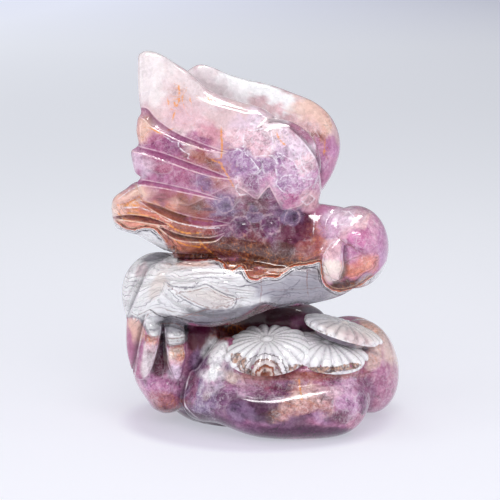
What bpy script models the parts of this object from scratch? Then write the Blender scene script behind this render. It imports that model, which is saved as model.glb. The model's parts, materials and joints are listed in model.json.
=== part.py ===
"""An eagle carved from one amethyst and lace agate stone, on a rock with three pine rosettes.

The stone is one solid. The carver's forms are modelled one by one and fused, then the stone is polished,
the feathers, toes, face and rosettes are cut into it, and it is ground flat below.

Across and down, points are pixels of a 500 x 500 reference view. Depths, radii and cuts are millimetres.
Depth runs away from the viewer, along +Y. seen() turns such a point into metres in the carving's own frame.
"""

import math

import bmesh
import bpy
import numpy as np
from mathutils import Matrix, Vector
from mathutils.geometry import delaunay_2d_cdt

# Driving dimensions of the real carving, in metres
CARVING_HEIGHT = 0.110
VIEW_TILT = math.radians(12)
EYE_DISTANCE = 0.483
MM = 0.001

# How the reference view shows it
VIEW_CENTRE_PX = 250
MIDDLE_PX = 255
GROUND_PX = 419
PIXELS_TALL = 379.3
PIXEL = CARVING_HEIGHT / PIXELS_TALL

# How finely the stone is worked
GRAIN = 0.0006
POLISH_PASSES = 4
FACES = 9400
TUBE_SIDES = 24
FILL_STEP_PX = 4.0

# Where the eye is, and which way it looks. The ground below the middle shows at GROUND_PX
LOOK = Vector((0, math.cos(VIEW_TILT), -math.sin(VIEW_TILT)))
UP = Vector((0, math.sin(VIEW_TILT), math.cos(VIEW_TILT)))
BELOW = (GROUND_PX - VIEW_CENTRE_PX) * PIXEL
TARGET_HEIGHT = BELOW / (math.cos(VIEW_TILT) - BELOW * math.sin(VIEW_TILT) / EYE_DISTANCE)
TARGET = Vector(((VIEW_CENTRE_PX - MIDDLE_PX) * PIXEL, 0, TARGET_HEIGHT))
EYE = TARGET - LOOK * EYE_DISTANCE

# The rock that the bird stands on
ROCK_LUMPS = [
    ((268, 386, 5), (32, 18, 14.2), 0),
    ((365, 366, 6), (10.0, 14, 14.2), -12),
    ((349, 350, 12), (12, 10, 10.4), 0),
    ((200, 258, 6), (9, 6, 3.2), 0),
    ((300, 372, 13), (19, 13, 13), 0),
    ((212, 372, 12), (17, 13, 14), 0),
    ((238, 322, 13), (17, 9, 11), 0),
    ((284, 322, 12), (13, 8, 6.5), 0),
]
LEFT_BOULDER = [
    (159, 330, 1, 7.6, 12),
    (159, 350, 1, 8.2, 13),
    (161, 370, 2, 8.2, 14),
    (167, 388, 2, 6.9, 13),
]
TOE_BOULDER = [
    (197, 338, 0, 7.0, 7),
    (194, 364, 0, 7.6, 8.5),
    (188, 390, -1, 6.0, 8),
]
FRONT_BOULDER = [
    (206, 400, -7, 6.3, 8),
    (226, 401, -11, 6.8, 9),
    (260, 411, -15, 7.4, 9.5),
    (300, 411, -16, 8.1, 9.5),
    (334, 406, -13, 8.6, 9.5),
    (345, 400, -9, 6.9, 8),
]
BOULDER_SHOULDER = [
    (225, 355, -3, 4.4, 9),
    (219, 374, -7, 6.6, 9.5),
    (208, 397, -8, 6.4, 8.5),
]
ROSETTE_SHELF = [
    (236, 367, -6, 6.0, 8),
    (265, 374, -8, 6.8, 10),
    (305, 377, -8, 6.4, 10),
    (338, 370, -5, 6.2, 10),
]

# Rosettes: middle, radius, rise, lean to the viewer, lean to the right, rays, turn
ROSETTES = [
    ((268, 348.5, -10), 11.9, 3.3, 19, -3, 20, 0.05),
    ((326, 352, -6), 12.3, 3.4, 10, 6, 21, 0.2),
    ((339.5, 328.5, -5), 11.8, 2.6, 0, 14, 21, 0.1),
]
RAY_DEPTH = 0.85
BUTTON_SHARE = 0.15

# Belly, legs and feet
BELLY = [
    (168, 290, -6, 7.0, 8),
    (190, 292.5, -9, 9.5, 9),
    (225, 292, -10, 9.5, 9.5),
    (262, 284, -7, 7.6, 11),
    (300, 279, -4, 7.6, 11.5),
    (330, 273, -3, 7.4, 10),
    (350, 268, -4, 6.0, 8),
]
FAR_THIGH = [(178, 284, 9, 6.0, 6), (205, 288, 10, 8.0, 7), (240, 288, 9, 7.6, 7), (270, 282, 6, 6, 7)]
NEAR_FOOT = [(163, 284, -7, 6.4, 7), (152, 299, -8, 6.2, 7), (149, 312, -7.5, 6.0, 6.5)]
FAR_LEG = [
    (182, 270, 7, 4.5, 6),
    (154, 266, 9, 4.1, 5),
    (139, 280, 10, 4.4, 5),
    (137, 300, 10, 4.4, 5),
    (143, 320, 10, 4.6, 6),
]
TOES = [
    [(136, 318, -7, 2.7, 4), (135, 334, -8, 2.6, 4), (134, 350, -8, 2.1, 3.6), (135, 366, -8, 1.3, 2.4)],
    [(154, 320, -9.5, 2.6, 4), (151, 336, -10.5, 2.8, 4), (147, 355, -10.5, 2.7, 3.8), (143, 370, -10.5, 2.1, 3)],
    [(174.5, 330, -9.5, 3.2, 4), (175.5, 345, -10.5, 3.2, 4), (176.5, 359, -10.5, 2.8, 3.8), (176, 373, -10, 1.3, 2.4)],
    [(139, 318, 12, 2.8, 4), (141, 336, 13, 2.6, 4), (145, 354, 14, 2.3, 3.4), (150, 368, 13, 1.2, 2.4)],
    [(160, 318, 13, 2.8, 4), (164, 336, 14, 2.6, 4), (167, 352, 15, 2.3, 3.4), (169, 366, 15, 1.2, 2.4)],
]

# Body, neck and head
BODY = [
    (185, 232, 3, 6.6, 9),
    (215, 236, 2, 7.8, 11),
    (250, 240, 1, 10.4, 12.5),
    (285, 242, 0, 12.4, 13.5),
    (315, 245, -1, 12.2, 12.5),
    (338, 247, -3, 11.7, 11.5),
]
HEAD = ((355, 247, -5), (9.7, 11, 12), 0)
BEAK = [
    (338, 246, -12.6, 1.9, 2.6),
    (334.5, 254, -13.6, 2.9, 3.1),
    (332.5, 263, -14.2, 3.3, 3.3),
    (332.5, 269, -13.8, 3.1, 3.1),
    (333, 273, -13.2, 2.5, 2.6),
]

# Tail and wings: an outline in the view, then depth, half thickness and edge rounding at a few places
TAIL = [
    (111, 206), (114, 197), (125, 189), (140, 181), (175, 188), (215, 198), (242, 222), (240, 252),
    (215, 258), (190, 258.5), (173, 254), (159, 247.5), (148, 241.5), (136, 235), (124, 231.5),
    (116, 228), (112.5, 218),
]
TAIL_BODY = [
    (113, 210, 0, 4.4, 4), (120, 228, 0, 4.4, 3), (140, 190, 0, 6, 4), (150, 240, 1, 7.4, 4),
    (180, 225, 1, 9.4, 6), (230, 230, 2, 9.8, 6), (215, 256, 1, 8.4, 4),
]
NEAR_WING = [
    (137.5, 58), (142, 52), (148, 50.4), (160, 53.5), (174, 62), (188, 71), (200, 82), (211, 91),
    (240, 101.5), (262, 108), (281, 121), (304, 144), (315, 158), (320.5, 178), (321, 193),
    (314, 212), (290, 228), (260, 232), (226, 226), (202, 221), (171, 211), (143, 201.5),
    (138, 190), (137.5, 181), (141.5, 177.5), (135, 173), (132, 162), (130.7, 151),
    (138, 145), (136, 131), (137.5, 118), (141, 113.5), (139.5, 105), (137.5, 86),
]
NEAR_WING_BODY = [
    (146, 56, -1, 2.6, 2.4), (140, 90, -3, 2.6, 2.0), (175, 70, -1, 3, 3.5), (138, 150, -7, 2.6, 2),
    (140, 195, -8, 2.6, 2), (190, 125, -6, 4.2, 4), (230, 105, -4, 4, 4), (250, 150, -7, 6.2, 7),
    (290, 150, -6, 6, 8), (318, 180, -4, 6, 7), (285, 190, -6, 7, 9), (290, 225, -2, 6, 6),
    (225, 215, -5, 5, 4), (180, 205, -7, 3.4, 2.4), (200, 180, -8, 4, 3),
]
FAR_WING = [
    (188, 70), (195, 65.5), (202, 64), (214, 67.5), (229, 74), (248, 79.5), (269, 84), (294, 93),
    (314, 101.5), (329, 114), (338, 130), (340.5, 146), (338, 160), (332, 175), (324, 187),
    (308, 205), (270, 212), (225, 200), (190, 185), (164, 168), (156, 140), (158, 110), (170, 84),
]
FAR_WING_BODY = [
    (195, 72, 10, 2.6, 3), (230, 82, 12, 4, 5), (270, 95, 13, 5, 7), (315, 118, 14, 6.5, 9),
    (325, 160, 13, 7, 8), (200, 120, 14, 4, 4), (165, 140, 15, 3, 2.4), (200, 180, 14, 4, 3),
    (260, 180, 13, 7, 8), (290, 205, 10, 6, 6),
]
SHOULDERS = [((275, 163, -8), (13.0, 7.6, 12.6), 12), ((285, 163, 14), (14, 8.5, 13), 12)]

# Cuts: pixel across, pixel down, width in pixels, depth in millimetres
WING_CUTS = [
    [(136, 114.5, 9, 1.9), (156, 120, 9, 1.9), (178, 129, 8, 1.7), (202, 140, 7, 1.4), (221, 148, 4, 0.6)],
    [(134, 146, 9, 1.9), (158, 153, 8, 1.8), (180, 161, 7, 1.5), (205, 172, 6, 1.2), (226, 178, 4, 0.5)],
    [(134, 179.5, 8, 1.7), (161, 184, 7, 1.5), (187, 189, 6, 1.1), (214, 197, 4, 0.5)],
]
TAIL_CUTS = [
    [(118, 204.5, 2, 0.3), (127, 203, 4, 0.9), (137, 199, 4, 1.0)],
    [(115, 217, 4, 0.7), (128, 215.5, 6, 1.4), (143, 217, 6, 1.6), (159, 220.5, 5, 1.2), (168, 224, 4, 0.5)],
    [(163, 228, 4, 0.8), (171, 232, 7, 1.6), (190, 237, 7, 1.9), (204, 239.5, 6, 1.6), (222, 239, 3, 0.5)],
    [(150, 206, 7, 1.4), (162, 209, 8, 1.8), (179, 217, 8, 1.8), (209, 224, 7, 1.6), (227, 223, 5, 0.8)],
]
SLIT_UNDER_TAIL = [[(172, 256, 4, 1.6), (181, 258.5, 5, 2.6), (195, 259.5, 5, 3.0), (214, 259, 4, 1.6), (228, 261, 2, 0.3)]]
TOE_CUTS = [
    [(146, 317, 3, 0.8), (142, 334, 4, 1.6), (136, 364, 3, 1)],
    [(164, 324, 4, 2.0), (162.5, 345, 5, 1.8), (156, 370, 4, 1)],
    [(187, 330, 4, 1.4), (187.5, 348, 4, 1.4), (183, 366, 3, 0.8)],
    [(146, 316, 3, 0.8), (158, 324, 3, 1.0), (172, 325, 3, 1.0), (186, 330, 3, 0.8)],
]
HEAD_CUTS = [
    [(341, 208, 3, 0.4), (330, 213.5, 5, 1.0), (325, 223, 5, 1.3), (327, 234, 5, 1.3), (322, 246, 4, 1.2)],
    [(322, 268, 4, 1.2), (328, 280, 4, 1.2), (337, 284, 4, 0.9), (348, 283, 3, 0.3)],
    [(343, 277, 4, 0.8), (347, 266, 4, 1.0), (348, 254, 4, 0.9), (345, 243, 4, 0.7)],
    [(346, 242, 3, 0.5), (350, 245, 4, 1.0), (356, 249, 3, 0.7), (364, 252, 4, 1.1), (370, 257, 3, 0.5)],
    [(352, 231, 3, 0.3), (356, 230, 4, 0.6), (364, 231, 4, 0.6), (367, 236, 3, 0.4)],
]
BACK_FACE_CUTS = [
    [(341, 210, 3, 0.4), (330, 216, 5, 1.0), (327, 234, 5, 1.2), (326, 260, 5, 1.0)],
]

# Low bosses: pixel across, pixel down, radius in pixels, height in millimetres
CRYSTALS = [
    (243, 228, 14, 1.0), (268, 229, 12, 0.8), (291, 221, 13, 0.7), (226, 205, 11, 0.6),
    (255, 250, 13, 0.6), (283, 247, 13, 0.6), (305, 236, 11, 0.5), (222, 243, 11, 0.5),
    (359.5, 237, 5, 0.35),
]
NEAR, FAR = -1, 1
STEEP, EVEN = 0.3, 1.0


def seen(px, py, depth):
    """The point in metres that the view shows at a pixel, at a depth in millimetres along +Y."""
    across = (px - VIEW_CENTRE_PX) * PIXEL / EYE_DISTANCE
    above = (VIEW_CENTRE_PX - py) * PIXEL / EYE_DISTANCE
    ray = LOOK + Vector((across, 0, 0)) + UP * above
    return EYE + ray * ((depth * MM - EYE.y) / ray.y)


def pixels_of(points):
    """The view's pixels for an array of points in metres."""
    offset = points - np.array(EYE)
    away = offset @ np.array(LOOK)
    across = VIEW_CENTRE_PX + offset[:, 0] / away * EYE_DISTANCE / PIXEL
    down = VIEW_CENTRE_PX - offset @ np.array(UP) / away * EYE_DISTANCE / PIXEL
    return np.stack([across, down], axis=1)


def smooth_line(points, steps, closed=False):
    """A Catmull-Rom curve through the points, whatever number of values each one has."""
    points = np.array(points, float)
    count = len(points)
    line = []
    for i in range(count if closed else count - 1):
        near = [i + k if closed else min(max(i + k, 0), count - 1) for k in (-1, 0, 1, 2)]
        a, b, c, d = (points[k % count] for k in near)
        for t in np.linspace(0, 1, steps, endpoint=False):
            bend = (2 * a - 5 * b + 4 * c - d) * t**2 + (3 * b - a - 3 * c + d) * t**3
            line.append(b + 0.5 * ((c - a) * t + bend))
    if not closed:
        line.append(points[-1])
    return np.array(line)


def add_lump(bm, centre, radii, lean=0):
    """A rounded boss: radii across, deep and high, leaning clockwise in the view by degrees."""
    turn = Matrix.Rotation(math.radians(lean), 4, "Y")
    size = Matrix.Diagonal((*(r * MM for r in radii), 1))
    place = Matrix.Translation(seen(*centre)) @ turn @ size
    bmesh.ops.create_icosphere(bm, subdivisions=4, radius=1, matrix=place)


def add_limb(bm, stations):
    """A rounded limb. Each station is pixel across, pixel down, depth, radius in the view, radius in depth."""
    path = smooth_line(stations, 6)
    spots = [seen(*row[:3]) for row in path]
    rings = []
    for i, (spot, row) in enumerate(zip(spots, path)):
        along = (spots[min(i + 1, len(spots) - 1)] - spots[max(i - 1, 0)]).normalized()
        side = along.cross(LOOK).normalized()
        deep = side.cross(along).normalized()
        rings.append((spot, along, side * row[3] * MM, deep * row[4] * MM))
    caps = [math.radians(angle) for angle in (35, 60, 80)]
    sections = [dome_section(rings[0], -angle) for angle in reversed(caps)]
    sections += [(spot, side, deep) for spot, _, side, deep in rings]
    sections += [dome_section(rings[-1], angle) for angle in caps]
    turns = np.linspace(0, 2 * math.pi, TUBE_SIDES, endpoint=False)
    loops = [
        [bm.verts.new(spot + side * math.cos(t) + deep * math.sin(t)) for t in turns]
        for spot, side, deep in sections
    ]
    join_loops(bm, loops)


def dome_section(ring, angle):
    """A smaller section past the end of a limb, so that the end is a dome."""
    spot, along, side, deep = ring
    reach = min(side.length, deep.length) * math.sin(angle)
    return spot + along * reach, side * math.cos(angle), deep * math.cos(angle)


def join_loops(bm, loops):
    """A closed skin over loops that have one number of vertices."""
    for here, there in zip(loops, loops[1:]):
        for k in range(len(here)):
            after = (k + 1) % len(here)
            bm.faces.new((here[k], here[after], there[after], there[k]))
    bm.faces.new(reversed(loops[0]))
    bm.faces.new(loops[-1])


def away_from_line(points, start, end):
    """How far each point lies from the nearest of the pieces start to end, in pixels."""
    run = (end - start)[None]
    share = ((points[:, None] - start) * run).sum(2) / (run**2).sum(2)
    nearest = start + run * np.clip(share, 0, 1)[..., None]
    return np.linalg.norm(points[:, None] - nearest, axis=2).min(1)


def spread(points, stations):
    """Smooth values at points: the thin plate that passes through stations of across, down and values."""
    stations = np.array(stations, float)
    knots, values = stations[:, :2], stations[:, 2:]

    def plate(places):
        gap = np.linalg.norm(places[:, None] - knots[None], axis=2) + 1e-9
        return np.hstack([gap**2 * np.log(gap), np.ones((len(places), 1)), places])

    known = plate(knots)
    count = len(knots)
    system = np.zeros((count + 3, count + 3))
    system[:count] = known
    system[count:, :count] = known[:, count:].T
    weights = np.linalg.solve(system, np.vstack([values, np.zeros((3, values.shape[1]))]))
    return plate(points) @ weights


def within(points, outline):
    """Which points lie inside a closed line."""
    x, y = outline[:, 0], outline[:, 1]
    nx, ny = np.roll(x, -1), np.roll(y, -1)
    rise = np.where(ny == y, 1, ny - y)
    px, py = points[:, :1], points[:, 1:]
    cuts = ((y > py) != (ny > py)) & (px < x + (py - y) / rise * (nx - x))
    return cuts.sum(1) % 2 == 1


def moved_inwards(outline, step):
    """The outline moved inwards by a step in pixels."""
    along = np.roll(outline, -1, axis=0) - np.roll(outline, 1, axis=0)
    along /= np.linalg.norm(along, axis=1, keepdims=True)
    following = np.roll(outline, -1, axis=0)
    area = (outline[:, 0] * following[:, 1] - outline[:, 1] * following[:, 0]).sum()
    return outline + np.stack([-along[:, 1], along[:, 0]], axis=1) * math.copysign(step, area)


def add_blade(bm, corners, stations):
    """A blade of stone with that outline in the view: see TAIL_BODY for its stations."""
    outline = smooth_line(corners, 4, closed=True)
    ends = np.roll(outline, -1, axis=0)
    spans = [np.arange(a, b, FILL_STEP_PX) for a, b in zip(outline.min(0), outline.max(0))]
    grid = np.stack(np.meshgrid(*spans), axis=-1).reshape(-1, 2)
    fill = np.concatenate([grid, moved_inwards(outline, 0.8), moved_inwards(outline, 2.2)])
    fill = fill[within(fill, outline)]
    fill = fill[away_from_line(fill, outline, ends) > 0.6]
    flat = [Vector(spot) for spot in np.concatenate([outline, fill])]
    made = delaunay_2d_cdt(flat, [], [list(range(len(outline)))], 1, 1e-4)
    spots = np.array([tuple(spot) for spot in made[0]])
    edge = away_from_line(spots, outline, ends)
    depth, half, rounding = spread(spots, stations).T
    share = 1 - np.clip(edge * PIXEL / MM / rounding, 0, 1)
    half = half * np.sqrt(np.clip(1 - share**2, 0, 1))
    front = [bm.verts.new(seen(*spot, d - h)) for spot, d, h in zip(spots, depth, half)]
    back = [
        front[i] if edge[i] < 1e-3 else bm.verts.new(seen(*spots[i], depth[i] + half[i]))
        for i in range(len(spots))
    ]
    for face in made[2]:
        bm.faces.new([front[i] for i in face])
        bm.faces.new([back[i] for i in reversed(face)])


def rosette_place(centre, lean, aside):
    """The matrix that sets a rosette down: it leans to the viewer and to the right, by degrees."""
    turn = Matrix.Rotation(math.radians(aside), 4, "Y") @ Matrix.Rotation(math.radians(lean), 4, "X")
    return Matrix.Translation(seen(*centre)) @ turn


def add_rosette(bm, centre, radius, rise, lean, aside, *_):
    """The blank of a rosette: a low dome with a thick rim."""
    place = rosette_place(centre, lean, aside)
    profile = [(share, rise * (1 - share**2.2)) for share in (0.05, 0.25, 0.45, 0.65, 0.8, 0.92)]
    profile += [(0.985, 0.15), (1.0, -0.15), (0.97, -0.6), (0.8, -2.6)]
    turns = np.linspace(0, 2 * math.pi, 2 * TUBE_SIDES, endpoint=False)
    join_loops(bm, [
        [
            bm.verts.new(place @ (Vector((r * radius * math.cos(t), r * radius * math.sin(t), z)) * MM))
            for t in turns
        ]
        for r, z in reversed(profile)
    ])


def fused_forms():
    """All the forms, in one mesh."""
    bm = bmesh.new()
    for lump in [*ROCK_LUMPS, *SHOULDERS, HEAD]:
        add_lump(bm, *lump)
    for limb in [LEFT_BOULDER, TOE_BOULDER, FRONT_BOULDER, BOULDER_SHOULDER, ROSETTE_SHELF]:
        add_limb(bm, limb)
    for limb in [BELLY, FAR_THIGH, NEAR_FOOT, FAR_LEG, *TOES, BODY, BEAK]:
        add_limb(bm, limb)
    for rosette in ROSETTES:
        add_rosette(bm, *rosette)
    add_blade(bm, TAIL, TAIL_BODY)
    add_blade(bm, NEAR_WING, NEAR_WING_BODY)
    add_blade(bm, FAR_WING, FAR_WING_BODY)
    bmesh.ops.recalc_face_normals(bm, faces=bm.faces)
    mesh = bpy.data.meshes.new("forms")
    bm.to_mesh(mesh)
    bm.free()
    return mesh


def applied(mesh, *modifiers):
    """A new mesh: this one after modifiers, each given as a type and its settings."""
    worker = bpy.data.objects.new("worker", mesh)
    bpy.context.scene.collection.objects.link(worker)
    for kind, settings in modifiers:
        modifier = worker.modifiers.new(kind.lower(), kind)
        for name, value in settings.items():
            setattr(modifier, name, value)
    graph = bpy.context.evaluated_depsgraph_get()
    made = bpy.data.meshes.new_from_object(worker.evaluated_get(graph))
    bpy.data.objects.remove(worker)
    return made


def points_and_normals(mesh):
    points = np.empty(len(mesh.vertices) * 3, np.float32)
    normals = np.empty(len(mesh.vertices) * 3, np.float32)
    mesh.vertices.foreach_get("co", points)
    mesh.vertices.foreach_get("normal", normals)
    return points.reshape(-1, 3).astype(float), normals.reshape(-1, 3).astype(float)


def facing(points, normals, side, depths):
    """How far each vertex belongs to one side of the stone, between two depths in millimetres."""
    low, high = (limit * MM for limit in depths)
    between = (points[:, 1] > low) & (points[:, 1] < high)
    return np.clip(normals[:, 1] * side * 3, 0, 1) * between


def groove_depths(flat, line, wall):
    """How deep a cut is at each vertex. The wall above the line takes that share of the cut's width."""
    path = smooth_line(line, 8)
    gap = np.linalg.norm(flat[:, None] - path[None, :, :2], axis=2)
    nearest = gap.argmin(1)
    along = np.gradient(path[:, :2], axis=0)[nearest]
    offset = flat - path[nearest, :2]
    below = offset[:, 1] * along[:, 0] - offset[:, 0] * along[:, 1] > 0
    width = path[nearest, 2] * np.where(below, 1, wall)
    return path[nearest, 3] * np.clip(1 - gap.min(1) / width, 0, 1) ** 0.8


def press(mesh, depth_at):
    """Moves each vertex into the stone by the depth in millimetres that depth_at gives it."""
    points, normals = points_and_normals(mesh)
    points -= normals * (depth_at(points, normals) * MM)[:, None]
    mesh.vertices.foreach_set("co", points.ravel())
    mesh.update()


def cut_lines(mesh, lines, wall, side, depths):
    def depth_at(points, normals):
        flat = pixels_of(points)
        deepest = np.max([groove_depths(flat, line, wall) for line in lines], axis=0)
        return deepest * facing(points, normals, side, depths)

    press(mesh, depth_at)


def raise_crystals(mesh):
    def depth_at(points, normals):
        flat = pixels_of(points)
        heights = [
            height * np.clip(1 - np.hypot(flat[:, 0] - x, flat[:, 1] - y) ** 2 / radius**2, 0, 1)
            for x, y, radius, height in CRYSTALS
        ]
        return -np.max(heights, axis=0) * facing(points, normals, NEAR, (-30, 2))

    press(mesh, depth_at)


def cut_rays(mesh, centre, radius, rise, lean, aside, rays, turn):
    """Cuts the rays of one rosette and leaves its round button standing."""
    back = np.array(rosette_place(centre, lean, aside).inverted())

    def depth_at(points, _):
        local = (points @ back[:3, :3].T + back[:3, 3]) / MM
        share = np.hypot(local[:, 0], local[:, 1]) / radius
        angle = np.arctan2(local[:, 1], local[:, 0])
        angle = angle + turn + 0.05 * np.sin(3 * angle + turn)
        on_dome = abs(local[:, 2] - rise * (1 - np.minimum(share, 1) ** 2.2)) < 0.8
        on_rim = (share > 0.9) & (local[:, 2] > -1.4) & (local[:, 2] < 1)
        valley = (1 - abs(np.sin(angle * rays / 2))) ** 1.4
        ramp = np.clip((share - BUTTON_SHARE) / 0.25, 0, 1)
        button = 0.45 * np.clip((share - BUTTON_SHARE) / 0.04, 0, 1) * np.clip((0.5 - share) / 0.3, 0, 1)
        return (RAY_DEPTH * valley * ramp + button) * (share < 1.06) * (on_dome | on_rim)

    press(mesh, depth_at)


def carve(mesh):
    """Cuts feathers, toes, face and rosettes into the polished blank."""
    raise_crystals(mesh)
    cut_lines(mesh, WING_CUTS, STEEP, NEAR, (-30, 2))
    cut_lines(mesh, WING_CUTS, STEEP, FAR, (10, 30))
    cut_lines(mesh, TAIL_CUTS, STEEP, NEAR, (-30, 0))
    cut_lines(mesh, TAIL_CUTS, STEEP, FAR, (4, 16))
    cut_lines(mesh, SLIT_UNDER_TAIL, EVEN, NEAR, (-30, 2))
    cut_lines(mesh, TOE_CUTS, EVEN, NEAR, (-30, 2))
    cut_lines(mesh, HEAD_CUTS, EVEN, NEAR, (-30, 0))
    cut_lines(mesh, BACK_FACE_CUTS, EVEN, FAR, (-4, 20))
    for rosette in ROSETTES:
        cut_rays(mesh, *rosette)


def ground_flat(mesh):
    """Cuts the stone off at the level it stands on."""
    bm = bmesh.new()
    bm.from_mesh(mesh)
    geometry = [*bm.verts, *bm.edges, *bm.faces]
    bmesh.ops.bisect_plane(
        bm, geom=geometry, dist=1e-6, plane_co=(0, 0, 0), plane_no=(0, 0, 1), clear_inner=True
    )
    rim = [edge for edge in bm.edges if edge.is_boundary]
    bmesh.ops.triangle_fill(bm, edges=rim, use_beauty=True, normal=(0, 0, -1))
    bmesh.ops.triangulate(bm, faces=[face for face in bm.faces if len(face.verts) > 3])
    bmesh.ops.recalc_face_normals(bm, faces=bm.faces)
    bm.to_mesh(mesh)
    bm.free()


def centre(mesh):
    """Moves the middle of the footprint to the origin and gives back where it was."""
    points, _ = points_and_normals(mesh)
    middle = (points.min(0) + points.max(0)) / 2
    mesh.transform(Matrix.Translation((-middle[0], -middle[1], 0)))
    return middle


def stone_material():
    material = bpy.data.materials.new("amethyst_agate")
    material.use_nodes = True
    shader = material.node_tree.nodes["Principled BSDF"]
    shader.inputs["Base Color"].default_value = (0.56, 0.34, 0.46, 1)
    shader.inputs["Roughness"].default_value = 0.15
    shader.inputs["Metallic"].default_value = 0
    return material


def build():
    for old in list(bpy.data.objects):
        bpy.data.objects.remove(old)
    blank = applied(
        fused_forms(),
        ("REMESH", {"mode": "VOXEL", "voxel_size": GRAIN}),
        ("SMOOTH", {"factor": 0.5, "iterations": POLISH_PASSES}),
    )
    carve(blank)
    stone = applied(
        blank,
        ("TRIANGULATE", {}),
        ("DECIMATE", {"ratio": FACES / (2 * len(blank.polygons))}),
    )
    ground_flat(stone)
    middle = centre(stone)
    stone.materials.append(stone_material())
    stone.shade_smooth()
    carving = bpy.data.objects.new("eagle_carving", stone)
    bpy.context.scene.collection.objects.link(carving)
    return carving, middle


CARVING, MIDDLE = build()
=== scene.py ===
# %% [markdown]
# # An eagle carved from one stone
#
# The real object is one polished piece of amethyst with a layer of lace agate through its middle. A carver
# cut an eagle, the rock under it and three ribbed rosettes from it, and the natural layers give the colours.
# This lesson makes the stone as one mesh, with all its feathers and rays, and then paints its layers with
# procedural materials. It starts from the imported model, a plainer solid of the same stone that fixes its size.

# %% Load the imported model
import json
import math

import bmesh
import bpy
import numpy as np
from mathutils import Matrix, Vector
from mathutils.geometry import delaunay_2d_cdt

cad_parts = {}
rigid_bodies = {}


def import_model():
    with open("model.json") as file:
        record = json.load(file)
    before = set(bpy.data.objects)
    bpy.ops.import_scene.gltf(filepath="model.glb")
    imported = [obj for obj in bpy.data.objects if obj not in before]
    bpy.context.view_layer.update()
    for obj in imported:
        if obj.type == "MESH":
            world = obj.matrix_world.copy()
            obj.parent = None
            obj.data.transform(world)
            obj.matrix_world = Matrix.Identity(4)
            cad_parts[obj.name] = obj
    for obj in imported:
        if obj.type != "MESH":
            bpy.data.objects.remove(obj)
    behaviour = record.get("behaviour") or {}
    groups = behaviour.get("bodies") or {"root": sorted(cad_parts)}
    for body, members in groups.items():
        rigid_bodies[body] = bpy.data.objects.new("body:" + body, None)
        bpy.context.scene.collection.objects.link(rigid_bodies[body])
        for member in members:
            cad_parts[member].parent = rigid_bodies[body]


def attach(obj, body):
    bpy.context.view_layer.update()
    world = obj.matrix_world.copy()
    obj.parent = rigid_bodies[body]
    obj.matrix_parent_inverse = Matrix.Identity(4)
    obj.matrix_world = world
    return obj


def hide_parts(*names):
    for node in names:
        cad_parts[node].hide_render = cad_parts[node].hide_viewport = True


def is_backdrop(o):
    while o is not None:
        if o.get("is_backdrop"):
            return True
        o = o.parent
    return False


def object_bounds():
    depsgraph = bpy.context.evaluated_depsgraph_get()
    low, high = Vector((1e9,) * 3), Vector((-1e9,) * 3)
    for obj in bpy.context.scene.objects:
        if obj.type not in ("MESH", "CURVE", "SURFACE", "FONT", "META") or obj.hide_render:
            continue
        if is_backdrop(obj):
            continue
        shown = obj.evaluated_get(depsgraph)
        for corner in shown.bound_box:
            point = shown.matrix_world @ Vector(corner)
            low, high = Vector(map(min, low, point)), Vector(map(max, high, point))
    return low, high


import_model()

MM = 0.001
CAD_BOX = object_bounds()
print("packed model:", [f"{(high - low) / MM:.1f} mm" for low, high in zip(*CAD_BOX)])

# %% [markdown]
# ## The view that everything is placed in
#
# A carver works from a drawing, and this stone is measured in one too: a view of 500 x 500 pixels, looking
# down at 12 degrees. A place is given as a pixel across, a pixel down and a depth in millimetres, and
# `seen()` turns the three into a point in metres. The camera stands at the same eye, so a form that is
# placed at a pixel shows at that pixel.

# %% The view and the camera
CARVING_HEIGHT = 0.110
VIEW_TILT = math.radians(12)
EYE_DISTANCE = 0.483
VIEW_SIZE_PX = 500
VIEW_CENTRE_PX = 250
MIDDLE_PX = 255
GROUND_PX = 419
PIXELS_TALL = 379.3
PIXEL = CARVING_HEIGHT / PIXELS_TALL
FOOTPRINT_MIDDLE = Vector((0.000723, 0.000223, 0))
SENSOR_MM = 36

LOOK = Vector((0, math.cos(VIEW_TILT), -math.sin(VIEW_TILT)))
UP = Vector((0, math.sin(VIEW_TILT), math.cos(VIEW_TILT)))
BELOW = (GROUND_PX - VIEW_CENTRE_PX) * PIXEL
TARGET_HEIGHT = BELOW / (math.cos(VIEW_TILT) - BELOW * math.sin(VIEW_TILT) / EYE_DISTANCE)
TARGET = Vector(((VIEW_CENTRE_PX - MIDDLE_PX) * PIXEL, 0, TARGET_HEIGHT))
EYE = TARGET - LOOK * EYE_DISTANCE


def seen(px, py, depth):
    """The point in metres that the view shows at a pixel, at a depth in millimetres along +Y."""
    across = (px - VIEW_CENTRE_PX) * PIXEL / EYE_DISTANCE
    above = (VIEW_CENTRE_PX - py) * PIXEL / EYE_DISTANCE
    ray = LOOK + Vector((across, 0, 0)) + UP * above
    return EYE + ray * ((depth * MM - EYE.y) / ray.y)


def linked(name, data):
    """A new object in the scene."""
    made = bpy.data.objects.new(name, data)
    bpy.context.scene.collection.objects.link(made)
    return made


def pixels_of(points):
    """The view's pixels for an array of points in metres."""
    offset = points - np.array(EYE)
    away = offset @ np.array(LOOK)
    across = VIEW_CENTRE_PX + offset[:, 0] / away * EYE_DISTANCE / PIXEL
    down = VIEW_CENTRE_PX - offset @ np.array(UP) / away * EYE_DISTANCE / PIXEL
    return np.stack([across, down], axis=1)


camera = linked("camera", bpy.data.cameras.new("camera"))
camera.data.sensor_width = SENSOR_MM
camera.data.lens = SENSOR_MM * EYE_DISTANCE / (VIEW_SIZE_PX * PIXEL)
camera.data.clip_start = 0.01
camera.location = EYE - FOOTPRINT_MIDDLE
camera.rotation_euler = (math.pi / 2 - VIEW_TILT, 0, 0)
bpy.context.scene.camera = camera
print(f"camera: {camera.data.lens:.0f} mm lens, one pixel is {PIXEL / MM:.2f} mm of stone")

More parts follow.
